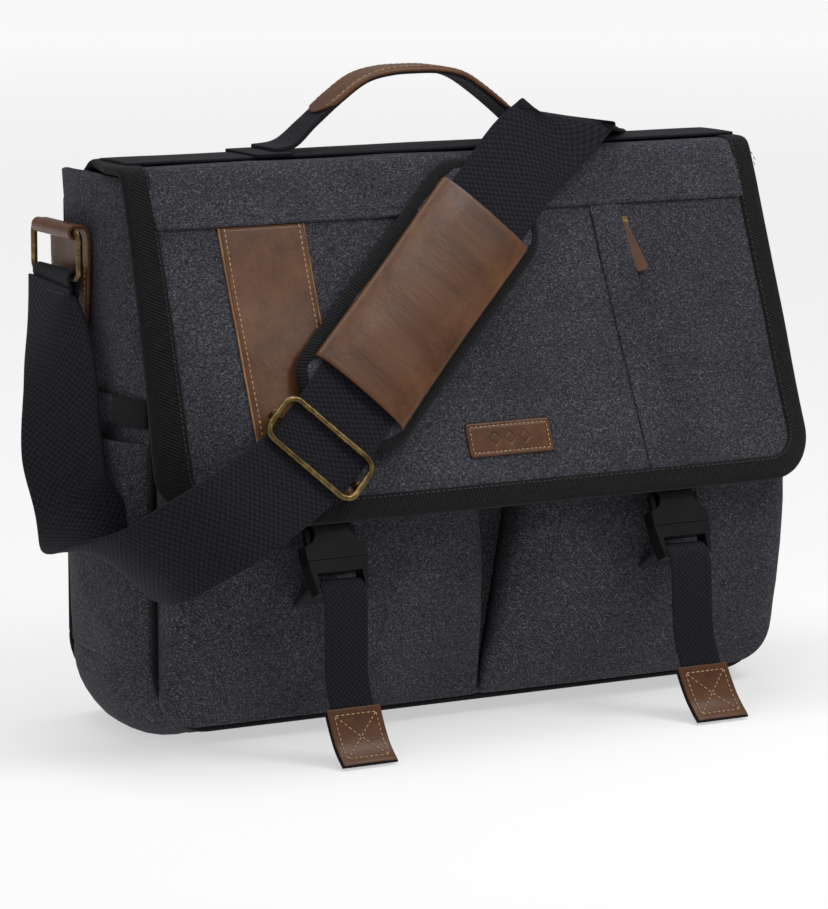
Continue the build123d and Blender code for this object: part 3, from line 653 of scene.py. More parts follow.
def makePatch():
    s = patchShape

    def outlinePlace(share, inset, lift):
        half, high = s["width"] / 2 - inset, s["height"] / 2 - inset
        walk = share * 4 * (half + high)
        for dx, dz, length, x, d in ((1, 0, 2 * half, -half, -high), (0, 1, 2 * high, half, -high),
                                     (-1, 0, 2 * half, half, high), (0, -1, 2 * high, -half, high)):
            if walk <= length:
                break
            walk -= length
        return flapPlace(s["middle"] + x + dx * walk, s["top"] + s["height"] / 2 + d + dz * walk, lift)

    def place(u, v):
        half, high = s["width"] / 2, s["height"] / 2
        x, d = (2 * u - 1) * half, (2 * v - 1) * high
        over = Vector((max(abs(x) - (half - s["corner"]), 0), max(abs(d) - (high - s["corner"]), 0)))
        if over.length > s["corner"]:
            pull = over * (s["corner"] / over.length)
            x = math.copysign(half - s["corner"] + pull.x, x)
            d = math.copysign(high - s["corner"] + pull.y, d)
        near = min(half - abs(x), high - abs(d))
        lift = s["thick"] - 0.5 * max(0, 1 - near / 0.7)
        lift -= 0.3 * max(0, 1 - abs(near - s["sewn"]) / 0.7)
        for middle in (-9, 0, 9):  # three pressed lozenges, a plain motif
            reach = abs(x - middle) / 3.4 + abs(d) / 3.4
            lift -= 0.45 * max(0, 1 - abs(reach - 1) / 0.22)
        return flapPlace(s["middle"] + x, s["top"] + high + d, lift)

    layCloth("flapPatch", (110, 44), place, (0.051, 0.0185), flapFront, leather,
             ("flap", "leather", "label_patch"), thickness=1.1 * mm)
    edge = 2 * (s["width"] + s["height"] - 4 * s["sewn"]) * mm
    stitches("patchStitches", [(lambda t: outlinePlace(t, s["sewn"], s["thick"] + 0.05), edge)], tanThread, "flap",
             "leather", pitch=2.6, thread=0.6)


placketShape = {
    "left": [(34, 78), (105, 80), (182, 83)], "fold": [(34, 95.2), (60, 95.6), (80, 98), (105, 101), (182, 105)],
    "rise": 3.7, "rows": (2.0, 5.0),
}


def makePlacket():
    s = placketShape
    top, bottom = 34.3, hemSlope - flapShape["bindingWidth"] + 1

    def place(u, v):
        drop = top + (bottom - top) * v
        left, fold = lineAt(s["left"], drop), lineAt(s["fold"], drop)
        ends = min(1, (drop - top + 3) / 14, (bottom - drop + 4) / 16)
        pull = math.exp(-((drop - 62) / 22) ** 2)  # the slider holds the fold up here
        rise = s["rise"] * (0.45 + 0.75 * pull) * ends
        if u < 0.78:  # up from the stitched side to the fold
            t = u / 0.78
            lift = 0.9 + rise * math.sin(math.pi / 2 * t) ** 0.8
            x = left + (fold - left) * t
        else:  # turned under at the fold
            t = (u - 0.78) / 0.22
            x = fold + 0.5 * math.sin(math.pi * t) - 6 * t ** 2
            lift = 0.9 + rise - 1.1 * t
        return flapPlace(x, drop, lift)

    layCloth("zipPlacket", (34, 90), place, (0.028, (bottom - top) * mm), flapFront, canvas,
             ("flap", "canvas", "zip_placket"), thickness=0.5 * mm)

    def seam(t, aside):
        drop = top + (bottom - top) * t
        return flapPlace(lineAt(s["left"], drop) + aside, drop, 1.15)

    rows = [(lambda t, aside=aside: seam(t, aside), (bottom - top) * mm) for aside in s["rows"]]
    stitches("placketStitches", rows, greyThread, "flap", "canvas", pitch=3.4, thread=0.45)


def makeTopBand():
    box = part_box("top_webbing")
    half = (box[1].y - box[0].y) / 2

    def place(u, v):
        x, y = (2 * u - 1) * 0.1868, (2 * v - 1) * half
        rise = box[1].z + 0.5 * mm + 0.2 * mm * math.sin(math.pi * v) + ripple(x, y, 2, 0.05) * 0.2 * mm
        return Vector((x, y, rise))

    layCloth("topWebbing", (160, 12), place, (box[1].x - box[0].x, 2 * half), (0, 0, 1), webbing,
             ("flap", "webbing", "top_webbing"), thickness=1.5 * mm)


makeFlap()
makeBinding()
makeYoke()
makeStripe()
makePatch()
makePlacket()
makeTopBand()
print("stage: flap made")


bodyShape = {
    "half": 190, "front": -52, "back": 52, "seam": 14, "corner": 30, "top": 283, "sideBulge": 8,
    "leanFrom": 200, "frontTop": (-36, 274), "baseBand": 36,
    "gussetTop": [(-52, 215), (-42, 262), (-31, 292), (-22, 299.2), (20, 300), (44, 299.4), (50, 298)],
}


# the panels' seam from the left top, round the bottom, to the right top: (x, z, outward x, outward z, length)
def seamPath(grow=0.0, top=283.0, step=4.0):
    b = bodyShape
    half, low, radius = b["half"] + grow, b["seam"] - grow, b["corner"] + grow
    inner, middle = half - radius, low + radius
    tall, wide = int((top - middle) / step), int(2 * inner / step)
    line = [(-half, top + (middle - top) * part / tall, -1, 0) for part in range(tall + 1)]
    for sign, first in ((-1, math.pi), (1, -math.pi / 2)):
        for part in range(1, 12):
            turn = first + math.pi / 2 * part / 12
            nx, nz = math.cos(turn), math.sin(turn)
            line.append((sign * inner + radius * nx, middle + radius * nz, nx, nz))
        if sign < 0:
            line += [(-inner + 2 * inner * part / wide, low, 0, -1) for part in range(wide + 1)]
    return line + [(half, middle + (top - middle) * part / tall, 1, 0) for part in range(tall + 1)]


# height of the gusset's top edge at a depth: it tucks up under the flap
def topAt(y):
    return lineAt(bodyShape["gussetTop"], y)


def frontAt(z):
    b = bodyShape
    if z <= b["leanFrom"]:
        return b["front"]
    return b["front"] + (b["frontTop"][0] - b["front"]) * (z - b["leanFrom"]) / (b["frontTop"][1] - b["leanFrom"])


def makeGusset():
    b = bodyShape
    path = seamPath(0, 292)
    count = len(path) - 1

    def place(u, v):
        x, z, nx, nz = pick(path, v)
        near = frontAt(z) + 1.5
        far = b["back"] - 1.5
        y = near + (far - near) * u
        size = math.hypot(nx, nz)
        nx, nz = nx / size, nz / size
        if abs(nx) > 0.95 and z > 200:
            z = 200 + (topAt(y) - 200) * (z - 200) / (292 - 200)
        across = abs(2 * u - 1)
        swell = 1 - across ** 3.2
        bulge = b["sideBulge"] * abs(nx) + b["seam"] * abs(nz)
        if abs(nx) > 0.7:
            bulge *= 1 - 0.35 * max(0, (z - 215) / 77)
        bulge *= swell
        wrinkle = ripple(x * mm, y * mm, z * mm, 0.05) * 1.3 + ripple(x * mm, y * mm, z * mm + 5, 0.022) * 0.5
        fade = min(1, (1 - across) * 6)
        lift = bulge + wrinkle * fade + 4 * max(0, (z - 235) / 65) * u ** 2 * abs(nx)
        return Vector((x + nx * lift, y, max(z + nz * lift, 0.25))) * mm  # it stands on the floor

    bm = sheetOf(40, count, place, (0.104, count * 4 * mm))
    bmesh.ops.recalc_face_normals(bm, faces=bm.faces)
    faceAtEnd(bm, (0, 0, -1))
    settle(finishPiece(bm, "bagGusset", canvas, thickness=1.8 * mm), "bag", "canvas", "left_gusset", "right_gusset",
           "base_panel")

    # the base band's seam, a folded edge with two rows of stitches up each side
    rows = []
    for side in (-1, 1):
        for rise in (b["baseBand"] - 1.5, b["baseBand"] + 2):
            def row(t, side=side, rise=rise):
                y = b["front"] + 3 + (b["back"] - b["front"] - 6) * t
                swell = 1 - abs(2 * t - 1) ** 3.2
                return Vector((side * (b["half"] - 0.6 + (b["sideBulge"] + 0.2) * swell), y, rise)) * mm
            rows.append((row, 0.098))
        for under in (4, 7):
            def hem(t, side=side, under=under):
                y = -28 + 74 * t
                return Vector((gussetFace(y, 0, -1.6) * side, y, topAt(y) - under)) * mm
            rows.append((hem, 0.074))
    stitches("baseStitches", rows, greyThread, "bag", "canvas", pitch=3.4, thread=0.5)


def makePanels():
    b = bodyShape

    def outlineHalf(z):
        left = z - b["seam"]
        if left >= b["corner"]:
            return b["half"]
        return b["half"] - b["corner"] + math.sqrt(max(b["corner"] ** 2 - (b["corner"] - max(left, 0)) ** 2, 0))

    def front(u, v):
        z = b["seam"] + (b["frontTop"][1] - b["seam"]) * v ** 1.3
        x = (2 * u - 1) * outlineHalf(z)
        return Vector((x, frontAt(z) + ripple(x * mm, 0, z * mm, 0.06) * 0.4, z)) * mm

    layCloth("frontPanel", (60, 60), front, (0.38, 0.26), (0, -1, 0), canvas, ("bag", "canvas", "front_panel"),
             thickness=1.8 * mm)

    def back(u, v):
        z = b["seam"] + (b["top"] - b["seam"]) * v ** 1.3
        x = (2 * u - 1) * outlineHalf(z)
        edge = min(1, (1 - abs(2 * u - 1)) * 5) * min(1, 6 * v, 6 * (1 - v))
        swell = (2.2 + 1.2 * ripple(x * mm, 1, z * mm, 0.09) + 0.6 * ripple(x * mm, 2, z * mm, 0.035)) * edge
        return Vector((x, b["back"] + swell, z)) * mm

    layCloth("backPanel", (110, 80), back, (0.38, 0.27), (0, 1, 0), canvas, ("bag", "canvas", "back_panel"),
             thickness=1.8 * mm)
    rows = [(lambda t: Vector(((2 * t - 1) * 184, b["back"] + 0.6, b["top"] - 9)) * mm, 0.368)]
    stitches("backStitches", rows, greyThread, "bag", "canvas", pitch=3.4, thread=0.5)

    for name, node, y, top in (("frontPiping", "piping_front", b["front"] - 0.4, 226),
                               ("backPiping", "piping_back", b["back"] + 0.2, 282)):
        line = []
        for x, z, nx, nz in seamPath(0.6, top, 3.0):
            depth = y
            if y < 0:  # the front sags nearly to the ground
                depth = frontAt(z) - 0.4
                z -= 4 * max(0, 1 - (z - 13) / 30)
            line.append((x * mm, depth * mm, z * mm))
        settle(tubeAlong(name, line, 1.75 * mm, twill), "bag", "twill", node)


pocketShape = {
    "outer": 189, "seam": 11, "top": 192, "slotSlope": 0.125, "slotLean": 0.05, "corner": 21, "square": 6.0, "hem": 14,
    "depths": [(11, 2.5), (18, 8), (37, 17.5), (58, 25), (80, 29.5), (106, 31.5), (130, 29), (160, 22.5), (192, 14.4)],
}


def makePocket(name, side):
    s = pocketShape

    def edges(z):
        inner = 1.4 + side * 2.5 + (s["slotSlope"] + side * s["slotLean"]) * max(0, z - 28)
        left = z - s["seam"]
        outer = s["outer"]
        if left < s["corner"]:
            outer += -s["corner"] + math.sqrt(max(s["corner"] ** 2 - (s["corner"] - max(left, 0)) ** 2, 0))
        return inner, outer

    def place(u, v):
        z = s["seam"] + (s["top"] - s["seam"]) * v ** 1.15
        inner, outer = edges(z)
        turn = math.pi * u
        a, b = math.cos(turn), math.sin(turn)
        px = math.copysign(abs(a) ** (2 / s["square"]), a)
        py = abs(b) ** (2 / s["square"])
        depth = lineAt(s["depths"], z) * (1 - 0.10 * px * px)
        x = (inner + outer) / 2 - px * (outer - inner) / 2
        wrinkle = ripple(x * mm * side, 0.3 * side, z * mm, 0.055) * 2.2 + ripple(x * mm, 2 * side, z * mm, 0.024) * 1.0
        crease = math.sin(x * 0.045 + 2 * side + z * 0.02) * 0.8
        fade = min(1, py * 2) * min(1, v * 8) * min(1, (1 - v) * 6 + 0.25)
        y = bodyShape["front"] - 0.6 - py * (depth + (wrinkle + crease) * fade)
        return Vector((side * x, y, z)) * mm

    layCloth("frontPocket" + name.capitalize(), (120, 80), place, (0.24, 0.19), (0, -1, 0), canvas,
             ("bag", "canvas", "front_pocket_" + name), thickness=1.5 * mm)

    def hemRow(height):
        def row(t):
            spot = place(0.06 + 0.88 * t, ((height - s["seam"]) / (s["top"] - s["seam"])) ** (1 / 1.15))
            return spot + Vector((0, -0.15 * mm, 0))
        return row

    rows = [(hemRow(height), 0.17) for height in (s["top"] - s["hem"], s["top"] - 3)]
    stitches("pocketStitches" + name.capitalize(), rows, greyThread, "bag", "canvas", pitch=3.4, thread=0.45)


sideShape = {"floor": 44, "hem": 163, "bulge": 6.0, "band": (171, 186), "split": -20, "bandBack": 6, "hemDeep": 11}


def gussetFace(y, z, lift):
    b = bodyShape
    across = min(1, abs(y) / (b["back"] - 1.5))
    return b["half"] + b["sideBulge"] * (1 - across ** 3.2) + lift


def makeSidePocket(name, side):
    s, b = sideShape, bodyShape
    cap = name.capitalize()

    def place(u, v):
        z = s["floor"] + (s["hem"] - s["floor"]) * v
        y = b["front"] + 2.5 + (b["back"] - b["front"] - 5) * u
        fill = (1 - abs(2 * u - 1) ** 2.6)
        open_ = 0.25 + 0.75 * math.sin(math.pi / 2 * min(1, v * 1.4))
        wrinkle = (ripple(y * mm, side * 0.4, z * mm, 0.045) * 0.9 + ripple(y * mm, side, z * mm, 0.02) * 0.4)
        lift = 1.0 + (s["bulge"] * open_ + wrinkle) * fill * min(1, v * 6 + 0.15)
        return Vector((side * gussetFace(y, z, lift), y, z)) * mm

    layCloth("sidePocket" + cap, (50, 60), place, (0.105, 0.119), (side, 0, 0), canvas,
             ("bag", "canvas", "side_pocket_" + name), thickness=1.3 * mm)
    rows = []
    for height in (s["hem"] - s["hemDeep"], s["hem"] - 2.5, s["floor"] + 2):
        share = (height - s["floor"]) / (s["hem"] - s["floor"])
        rows.append((lambda t, v=share: place(0.02 + 0.96 * t, v) + Vector((side * 0.2 * mm, 0, 0)), 0.1))
    stitches("sidePocketStitches" + cap, rows, greyThread, "bag", "canvas", pitch=3.4, thread=0.45)

    low, high = s["band"]
    for piece, material, rides, y0, y1 in (
            ("sideElastic", elasticRib, ("bag", "webbing"), b["front"] + 3, s["split"]),
            ("sideBand", canvas, ("bag", "canvas", "side_band_" + name), s["split"], s["bandBack"])):
        def strip(u, v):
            y, z = y0 + (y1 - y0) * u, low + (high - low) * v
            return Vector((side * gussetFace(y, z, 1.3 + 0.5 * math.sin(math.pi * u)), y, z)) * mm

        layCloth(piece + cap, (16, 8), strip, ((y1 - y0) * mm, (high - low) * mm), (side, 0, 0), material, rides,
                 thickness=1.0 * mm)


makeGusset()
makePanels()
for name, side in sides.items():
    makePocket(name, side)
    makeSidePocket(name, side)
print("stage: body and pockets made")


def makeHingeCloth():
    b = bodyShape
    line = [(b["back"] * mm + 0.0022, 0.272), (b["back"] * mm + 0.0016, 0.2795), (b["back"] * mm + 0.001, 0.284)]
    tail = [tuple(flapPlace(0, topStart + d, 0.9).yz) for d in (2, 6, 11)]
    path, length = evenly(smoothRows(line + tail, 24), 0.002)

    def place(u, v):
        return Vector(((2 * u - 1) * 0.1865, *pick(path, v)))

    bm = sheetOf(60, len(path), place, (0.373, length))
    faceTowards(bm, (0, 1, 0))
    piece = finishPiece(bm, "hingeCloth", canvas, thickness=1.0 * mm, offset=1.0)
    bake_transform(piece)


makeHingeCloth()


flapDown = Vector((0, -flapShape["reach"], -flapShape["drop"])).normalized()
flapOut = Vector((0, flapDown.z, -flapDown.y))
strapShape = {"width": 50, "thick": 2.4, "angle": 43.9, "x": 7, "drop": 38.3, "lift": 10}
strapTurn = math.radians(strapShape["angle"])
strapSide = Vector((math.sin(strapTurn), 0, 0)) + flapDown * math.cos(strapTurn)
strapWay = Vector((math.cos(strapTurn), 0, 0)) - flapDown * math.sin(strapTurn)
strapOrigin = flapCorner + Vector((strapShape["x"], 0, 0)) + flapDown * strapShape["drop"]


# a place on the strap's own plane over the flap, in mm
def onStrap(along, aside, lift):
    return strapOrigin + strapWay * along + strapSide * aside + flapOut * lift


# each station is a middle point and the direction of the width, in mm, and 1 where that lies aslant
strapStations = [
    ((-211.4, 28, 241), (0.04, -1, 0)),
    ((-212, 26, 226), (0.08, -1, 0)),
    ((-217, 5, 194.5), (0.42, -0.89, 0.18)),
    ((-222, -8, 158), (0.57, -0.77, 0.27)),
    ((-220, -17, 131), (0.50, -0.85, 0.08)),
    ((-219, -40, 111), (0.61, -0.68, -0.38)),
    ((-215, -64, 103), (0.71, -0.38, -0.60)),
    ((-208, -88, 107), (0.67, -0.35, -0.65)),
    ((-196, -103, 118), (0.64, -0.32, -0.70)),
    ((-177, -111, 130), (0.63, -0.30, -0.72)),
    *[(tuple(onStrap(along, aside, 10)), tuple(strapSide)) for along, aside in (
        (-206, -6), (-174, 0), (-130, 0), (-80, 0), (-30, 0), (14, 0), (44, 0))],
    ((56, -35.4, 311.4), tuple(strapSide)),
    ((69.5, -31.5, 320), (1.168, -0.102, -0.239), 1),  # folded over the top edge
    ((80, -18.5, 317.6), (0.775, -0.618, -0.134)),
    ((100, 7, 312.6), (0.75, -0.65, -0.134)),
    ((117, 31, 308), (0.72, -0.66, -0.05)),
    ((135, 53, 291), (0.76, -0.4, 0.3)),
    ((148, 61, 266), (0.8, 0, 0.6)),
    ((163, 68, 236), (0.72, 0.4, 0.56)),
    ((180, 78, 210), (0.45, 0.8, 0.35)),
    ((198, 80, 188), (0.2, 0.95, 0.15)),
    ((214, 72, 175), (0.05, 1, 0)),
    ((228, 58, 172), (0, 1, 0)),
    ((236, 46, 184), (0, 1, 0)),
    ((231, 36, 202), (0, 1, 0)),
    ((214, 29, 216), (0, 1, 0)),
    ((211.4, 28, 241), (0, 1, 0)),
]


# the strap's whole middle line in even steps, and the row where each station falls
def strapLine():
    parts = 20
    rows = [tuple(c * mm for c in middle) + way + (sum(aslant),) for middle, way, *aslant in strapStations]
    fine = smoothRows(rows, parts)
    lengths = distances(fine)
    line, total = evenly(fine, 0.004)
    last = len(line) - 1
    return line, total, [round(lengths[index * parts] / total * last) for index in range(len(rows))]


# the outline of flat webbing with round edges, as (across, out), closed on itself
def bandSection(width, thick):
    half, tall = width / 2 - thick / 2, thick / 2
    line = [(half * (i / 7 - 1), tall) for i in range(15)]
    line += [(half + tall * math.sin(math.pi * i / 5), tall * math.cos(math.pi * i / 5)) for i in range(1, 5)]
    line += [(half * (1 - i / 7), -tall) for i in range(15)]
    line += [(-half - tall * math.sin(math.pi * i / 5), -tall * math.cos(math.pi * i / 5)) for i in range(1, 5)]
    return line + [line[0]]


# webbing along part of a line. Its rows hold a middle, the way of the width, and 1 where that lies aslant
def ribbon(name, line, first, last, width, thick, material, ripples=0.0):
    section = bandSection(width, thick)
    step = math.dist(line[0][:3], line[1][:3])

    def place(u, v):
        index = first + round(v * (last - first))
        row = line[index]
        middle, way = Vector(row[:3]), Vector(row[3:6])
        along = Vector(line[min(index + 1, len(line) - 1)][:3]) - Vector(line[max(index - 1, 0)][:3])
        along.normalize()
        square = (way - along * way.dot(along)).normalized()
        out = along.cross(square)
        way = square.lerp(way, row[6])
        across, lift = pick(section, u)
        side = across / (width / 2)
        wave = ripple(middle.x, middle.y, middle.z, 0.06) * ripples * mm * side
        return middle + way * across + out * (wave + lift)

    bm = sheetOf(len(section) - 1, last - first, place, (2 * width, (last - first) * step))
    cloth = bm.loops.layers.uv.active
    for face in bm.faces:
        for loop in face.loops:
            loop[cloth].uv.y += first * step
    bmesh.ops.remove_doubles(bm, verts=bm.verts, dist=0.00001)
    for face in bmesh.ops.holes_fill(bm, edges=bm.edges, sides=0)["faces"]:
        for edge in face.edges:
            edge.smooth = False
    bmesh.ops.recalc_face_normals(bm, faces=bm.faces)
    return finishPiece(bm, name, material)


strapCuts = [  # name, first station, last station, its body, or two bodies that it spans and stays unattached between, nodes it stands for
    ("strapHang", 0, 2, ("ring_left", "bag"), ()),
    ("strapSweep", 2, 11, ("bag", "flap"), ("strap_left_hang",)),
    ("strapFront", 11, 18, "flap", ("strap_front",)),
    ("strapOver", 18, 24, ("flap", "bag"), ()),
    ("strapBack", 24, 29, "bag", ("strap_back",)),
    ("strapBackHang", 29, 32, ("bag", "ring_right"), ()),
]


def makeStrap():
    line, total, marks = strapLine()
    for name, first, last, body, nodes in strapCuts:
        piece = ribbon(name, line, marks[first], marks[last], strapShape["width"] * mm, strapShape["thick"] * mm * 0.85,
                       webbing, ripples=0.3)
        if nodes:
            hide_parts(*nodes)
        if isinstance(body, str):
            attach(piece, body)
        else:
            tuple(line[marks[first]][:3])
            tuple(line[marks[last]][:3])
            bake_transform(piece)
    print("strap length", round(total, 3))

    # each end is folded round its ring and sewn back on itself
    for name, side in sides.items():
        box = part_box("strap_end_" + name)
        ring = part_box("ring_" + name)
        x, y = (ring[0].x + ring[1].x) / 2, (ring[0].y + ring[1].y) / 2
        z = ring[0].z + 1.75 * mm
        half = (box[1].y - box[0].y) / 2
        line = [[x - side * 1.5 * mm, box[0].z + 4 * mm, 0], [x - side * 2.2 * mm, z - 5 * mm, 0]]
        for part in range(9):
            turn = math.pi * part / 8
            line.append([x - side * math.cos(turn) * 3.3 * mm, z + math.sin(turn) * 3.3 * mm, 0])
        line += [[x + side * 2.2 * mm, z - 5 * mm, 0], [x + side * 1.5 * mm, box[0].z + 4 * mm, 0]]
        path, length = evenly(line, 0.0012)

        def place(u, v):
            px, pz, spare = pick(path, v)
            return Vector((px, y + (2 * u - 1) * half, pz))

        layCloth("strapEnd" + name.capitalize(), (12, len(path)), place, (2 * half, length), None, webbing,
                 ("ring_" + name, "webbing", "strap_end_" + name), thickness=1.7 * mm, offset=0, bevel=0.4 * mm)
        rows = [(lambda t, out=out: Vector((x + out * 4.9 * mm, y + (2 * t - 1) * (half - 3 * mm), z - 8.5 * mm)),
                 2 * half) for out in (-1, 1)]
        stitches("strapEndStitches" + name.capitalize(), rows, darkThread, "ring_" + name, "webbing", pitch=3.0)


padShape = {"middle": -66, "length": 180, "width": 72, "thick": 5, "corner": 24, "edge": 7, "sleeve": 133,
            "sleeveWidth": 57.6}
padLow = strapShape["lift"] - strapShape["thick"] / 2 - 0.4 - padShape["thick"]


# the pad's rounded outline as (aside, along) from its middle, share from 0 to 1 round it
def padOutline(share, inset):
    s = padShape
    half, long_, radius = s["width"] / 2 - inset, s["length"] / 2 - inset, max(s["corner"] - inset, 2)
    runs = [2 * (long_ - radius), math.pi / 2 * radius, 2 * (half - radius), math.pi / 2 * radius] * 2
    walk = share % 1 * sum(runs)
    corners = [(half, -(long_ - radius), 0, 1, 0), None, (half - radius, long_, -1, 0, 0), None,
               (-half, long_ - radius, 0, -1, 0), None, (-(half - radius), -long_, 1, 0, 0), None]
    centres = {1: (half - radius, long_ - radius, 0), 3: (-(half - radius), long_ - radius, 1),
               5: (-(half - radius), -(long_ - radius), 2), 7: (half - radius, -(long_ - radius), 3)}
    for index, run in enumerate(runs):
        if walk <= run or index == 7:
            break
        walk -= run
    if index in centres:
        cx, cy, quarter = centres[index]
        turn = math.pi / 2 * quarter + walk / radius
        return cx + radius * math.cos(turn), cy + radius * math.sin(turn)
    x, y, dx, dy, spare = corners[index]
    return x + dx * walk, y + dy * walk


def makePad():
    s = padShape
    middle = s["middle"]
    bm = bmesh.new()
    count = 96
    rings = []
    profile = [(0.5, 0.6), (0.0, 1.6), (0.0, s["thick"] - 1.2), (0.8, s["thick"] - 0.2),
               (s["edge"] + 0.5, s["thick"] + 0.1)]
    for inset, height in profile:
        ring = []
        for index in range(count):
            aside, along = padOutline(index / count, inset)
            ring.append(bm.verts.new(onStrap(middle + along, aside, padLow + height) * mm))
        rings.append([bm.edges.new((ring[i], ring[(i + 1) % count])) for i in range(count)])
    for low, high in zip(rings, rings[1:]):
        bmesh.ops.bridge_loops(bm, edges=low + high)
    bmesh.ops.holes_fill(bm, edges=rings[0] + rings[-1], sides=0)
    bmesh.ops.recalc_face_normals(bm, faces=bm.faces)
    base = finishPiece(bm, "padCore", canvas)
    swell(base, "padBase", 4 * mm * 0.6, 1.2 * mm)


# fills the pad out with a short cloth run, then drapes its pattern over it again
def swell(source, name, voxel, cap):
    bpy.context.view_layer.objects.active = source
    remesh = source.modifiers.new("voxels", "REMESH")
    remesh.mode, remesh.voxel_size = "VOXEL", voxel
    ready = source.evaluated_get(bpy.context.evaluated_depsgraph_get())
    mesh = bpy.data.meshes.new_from_object(ready)
    pad = bpy.data.objects.new(name, mesh)
    bpy.context.scene.collection.objects.link(pad)
    bpy.data.objects.remove(source)
    rest = [v.co.copy() for v in mesh.vertices]
    cloth = pad.modifiers.new("fill", "CLOTH")
    cloth.settings.use_pressure = True
    cloth.settings.uniform_pressure_force = 4
    cloth.settings.effector_weights.gravity = 0
    cloth.settings.quality = 6
    cloth.point_cache.frame_start, cloth.point_cache.frame_end = 1, 20
    scene = bpy.context.scene
    for step in range(1, 21):
        scene.frame_set(step)
    ready = pad.evaluated_get(bpy.context.evaluated_depsgraph_get())
    moved = [v.co.copy() for v in ready.data.vertices]
    pad.modifiers.clear()
    scene.frame_set(1)
    for vert, old, new in zip(mesh.vertices, rest, moved):
        shift = new - old
        if shift.length > cap:
            shift *= cap / shift.length
        vert.co = old + shift
    finer = pad.modifiers.new("round", "SUBSURF")
    finer.levels = finer.render_levels = 1
    done = applyModifiers(pad)
    cloth = done.uv_layers.new(name="cloth")
    for loop in done.loops:  # the pattern runs along the strap
        at = done.vertices[loop.vertex_index].co - onStrap(0, 0, 0) * mm
        cloth.data[loop.index].uv = (at.dot(strapSide), at.dot(strapWay))
    done.materials.clear()
    done.materials.append(canvas)
    for polygon in done.polygons:
        polygon.use_smooth = True
    return settle(pad, "pad", "webbing", "pad_base")


def makePadTrim():
    s = padShape
    count = 150
    section = [(s["edge"], s["thick"] + 0.35), (s["edge"] * 0.6, s["thick"] + 0.9), (1.6, s["thick"] + 0.6),
               (-0.4, s["thick"] * 0.75), (-0.6, s["thick"] * 0.4), (0.2, 0.4), (2.5, 0.0), (s["edge"] * 0.7, -0.1)]

    def place(u, v):
        inset, height = pick(section, u)
        aside, along = padOutline(v, inset)
        return onStrap(s["middle"] + along, aside, padLow + height) * mm

    bm = sheetOf(16, count, place, (0.022, 0.46))
    bmesh.ops.remove_doubles(bm, verts=bm.verts, dist=0.00001)
    bmesh.ops.recalc_face_normals(bm, faces=bm.faces)
    faceAtEnd(bm, flapOut)
    settle(finishPiece(bm, "padBinding", twill, thickness=0.5 * mm), "pad", "twill")

    # the sleeve wraps over the strap, crowned across, and tucks in at the pad
    top = strapShape["lift"] + strapShape["thick"] / 2 + 0.4 - 0.1
    half = s["sleeveWidth"] / 2

    def sleeve(u, v):
        a = math.pi * (1 - u)
        x = math.copysign(abs(math.cos(a)) ** 0.32, math.cos(a)) * half
        y = abs(math.sin(a)) ** 0.42
        along = s["middle"] + (v - 0.5) * s["sleeve"]
        pinch = 1 + 0.012 * math.cos(2 * math.pi * v)
        foot = padLow + s["thick"] + 0.3
        crown = 2.0 * (1 - (x / half) ** 2)
        wrinkle = ripple(x * mm * 2, along * mm, 4, 0.03) * 0.35 * y
        return onStrap(along, x * pinch, foot + (top - foot + 0.7 + crown) * y + wrinkle) * mm

    layCloth("padSleeve", (60, 60), sleeve, (0.07, s["sleeve"] * mm), tuple(flapOut), leather,
             ("pad", "leather", "pad_sleeve"), thickness=1.3 * mm, offset=1.0, bevel=0.35 * mm)


makeStrap()
makePad()
makePadTrim()
print("stage: strap and pad made")


handleShape = {
    "line": [(-99, 308.6), (-86, 311), (-73, 321.5), (-57, 334), (-42, 343.5), (-27, 347), (-12, 347.6), (3, 347),
             (18, 343.5), (33, 334), (49, 321.5), (61, 311.5), (67.5, 308.7)],
    "wide": 30, "narrow": 21, "thick": 2.6, "grip": (-69, 50), "gripWidth": 23,
}


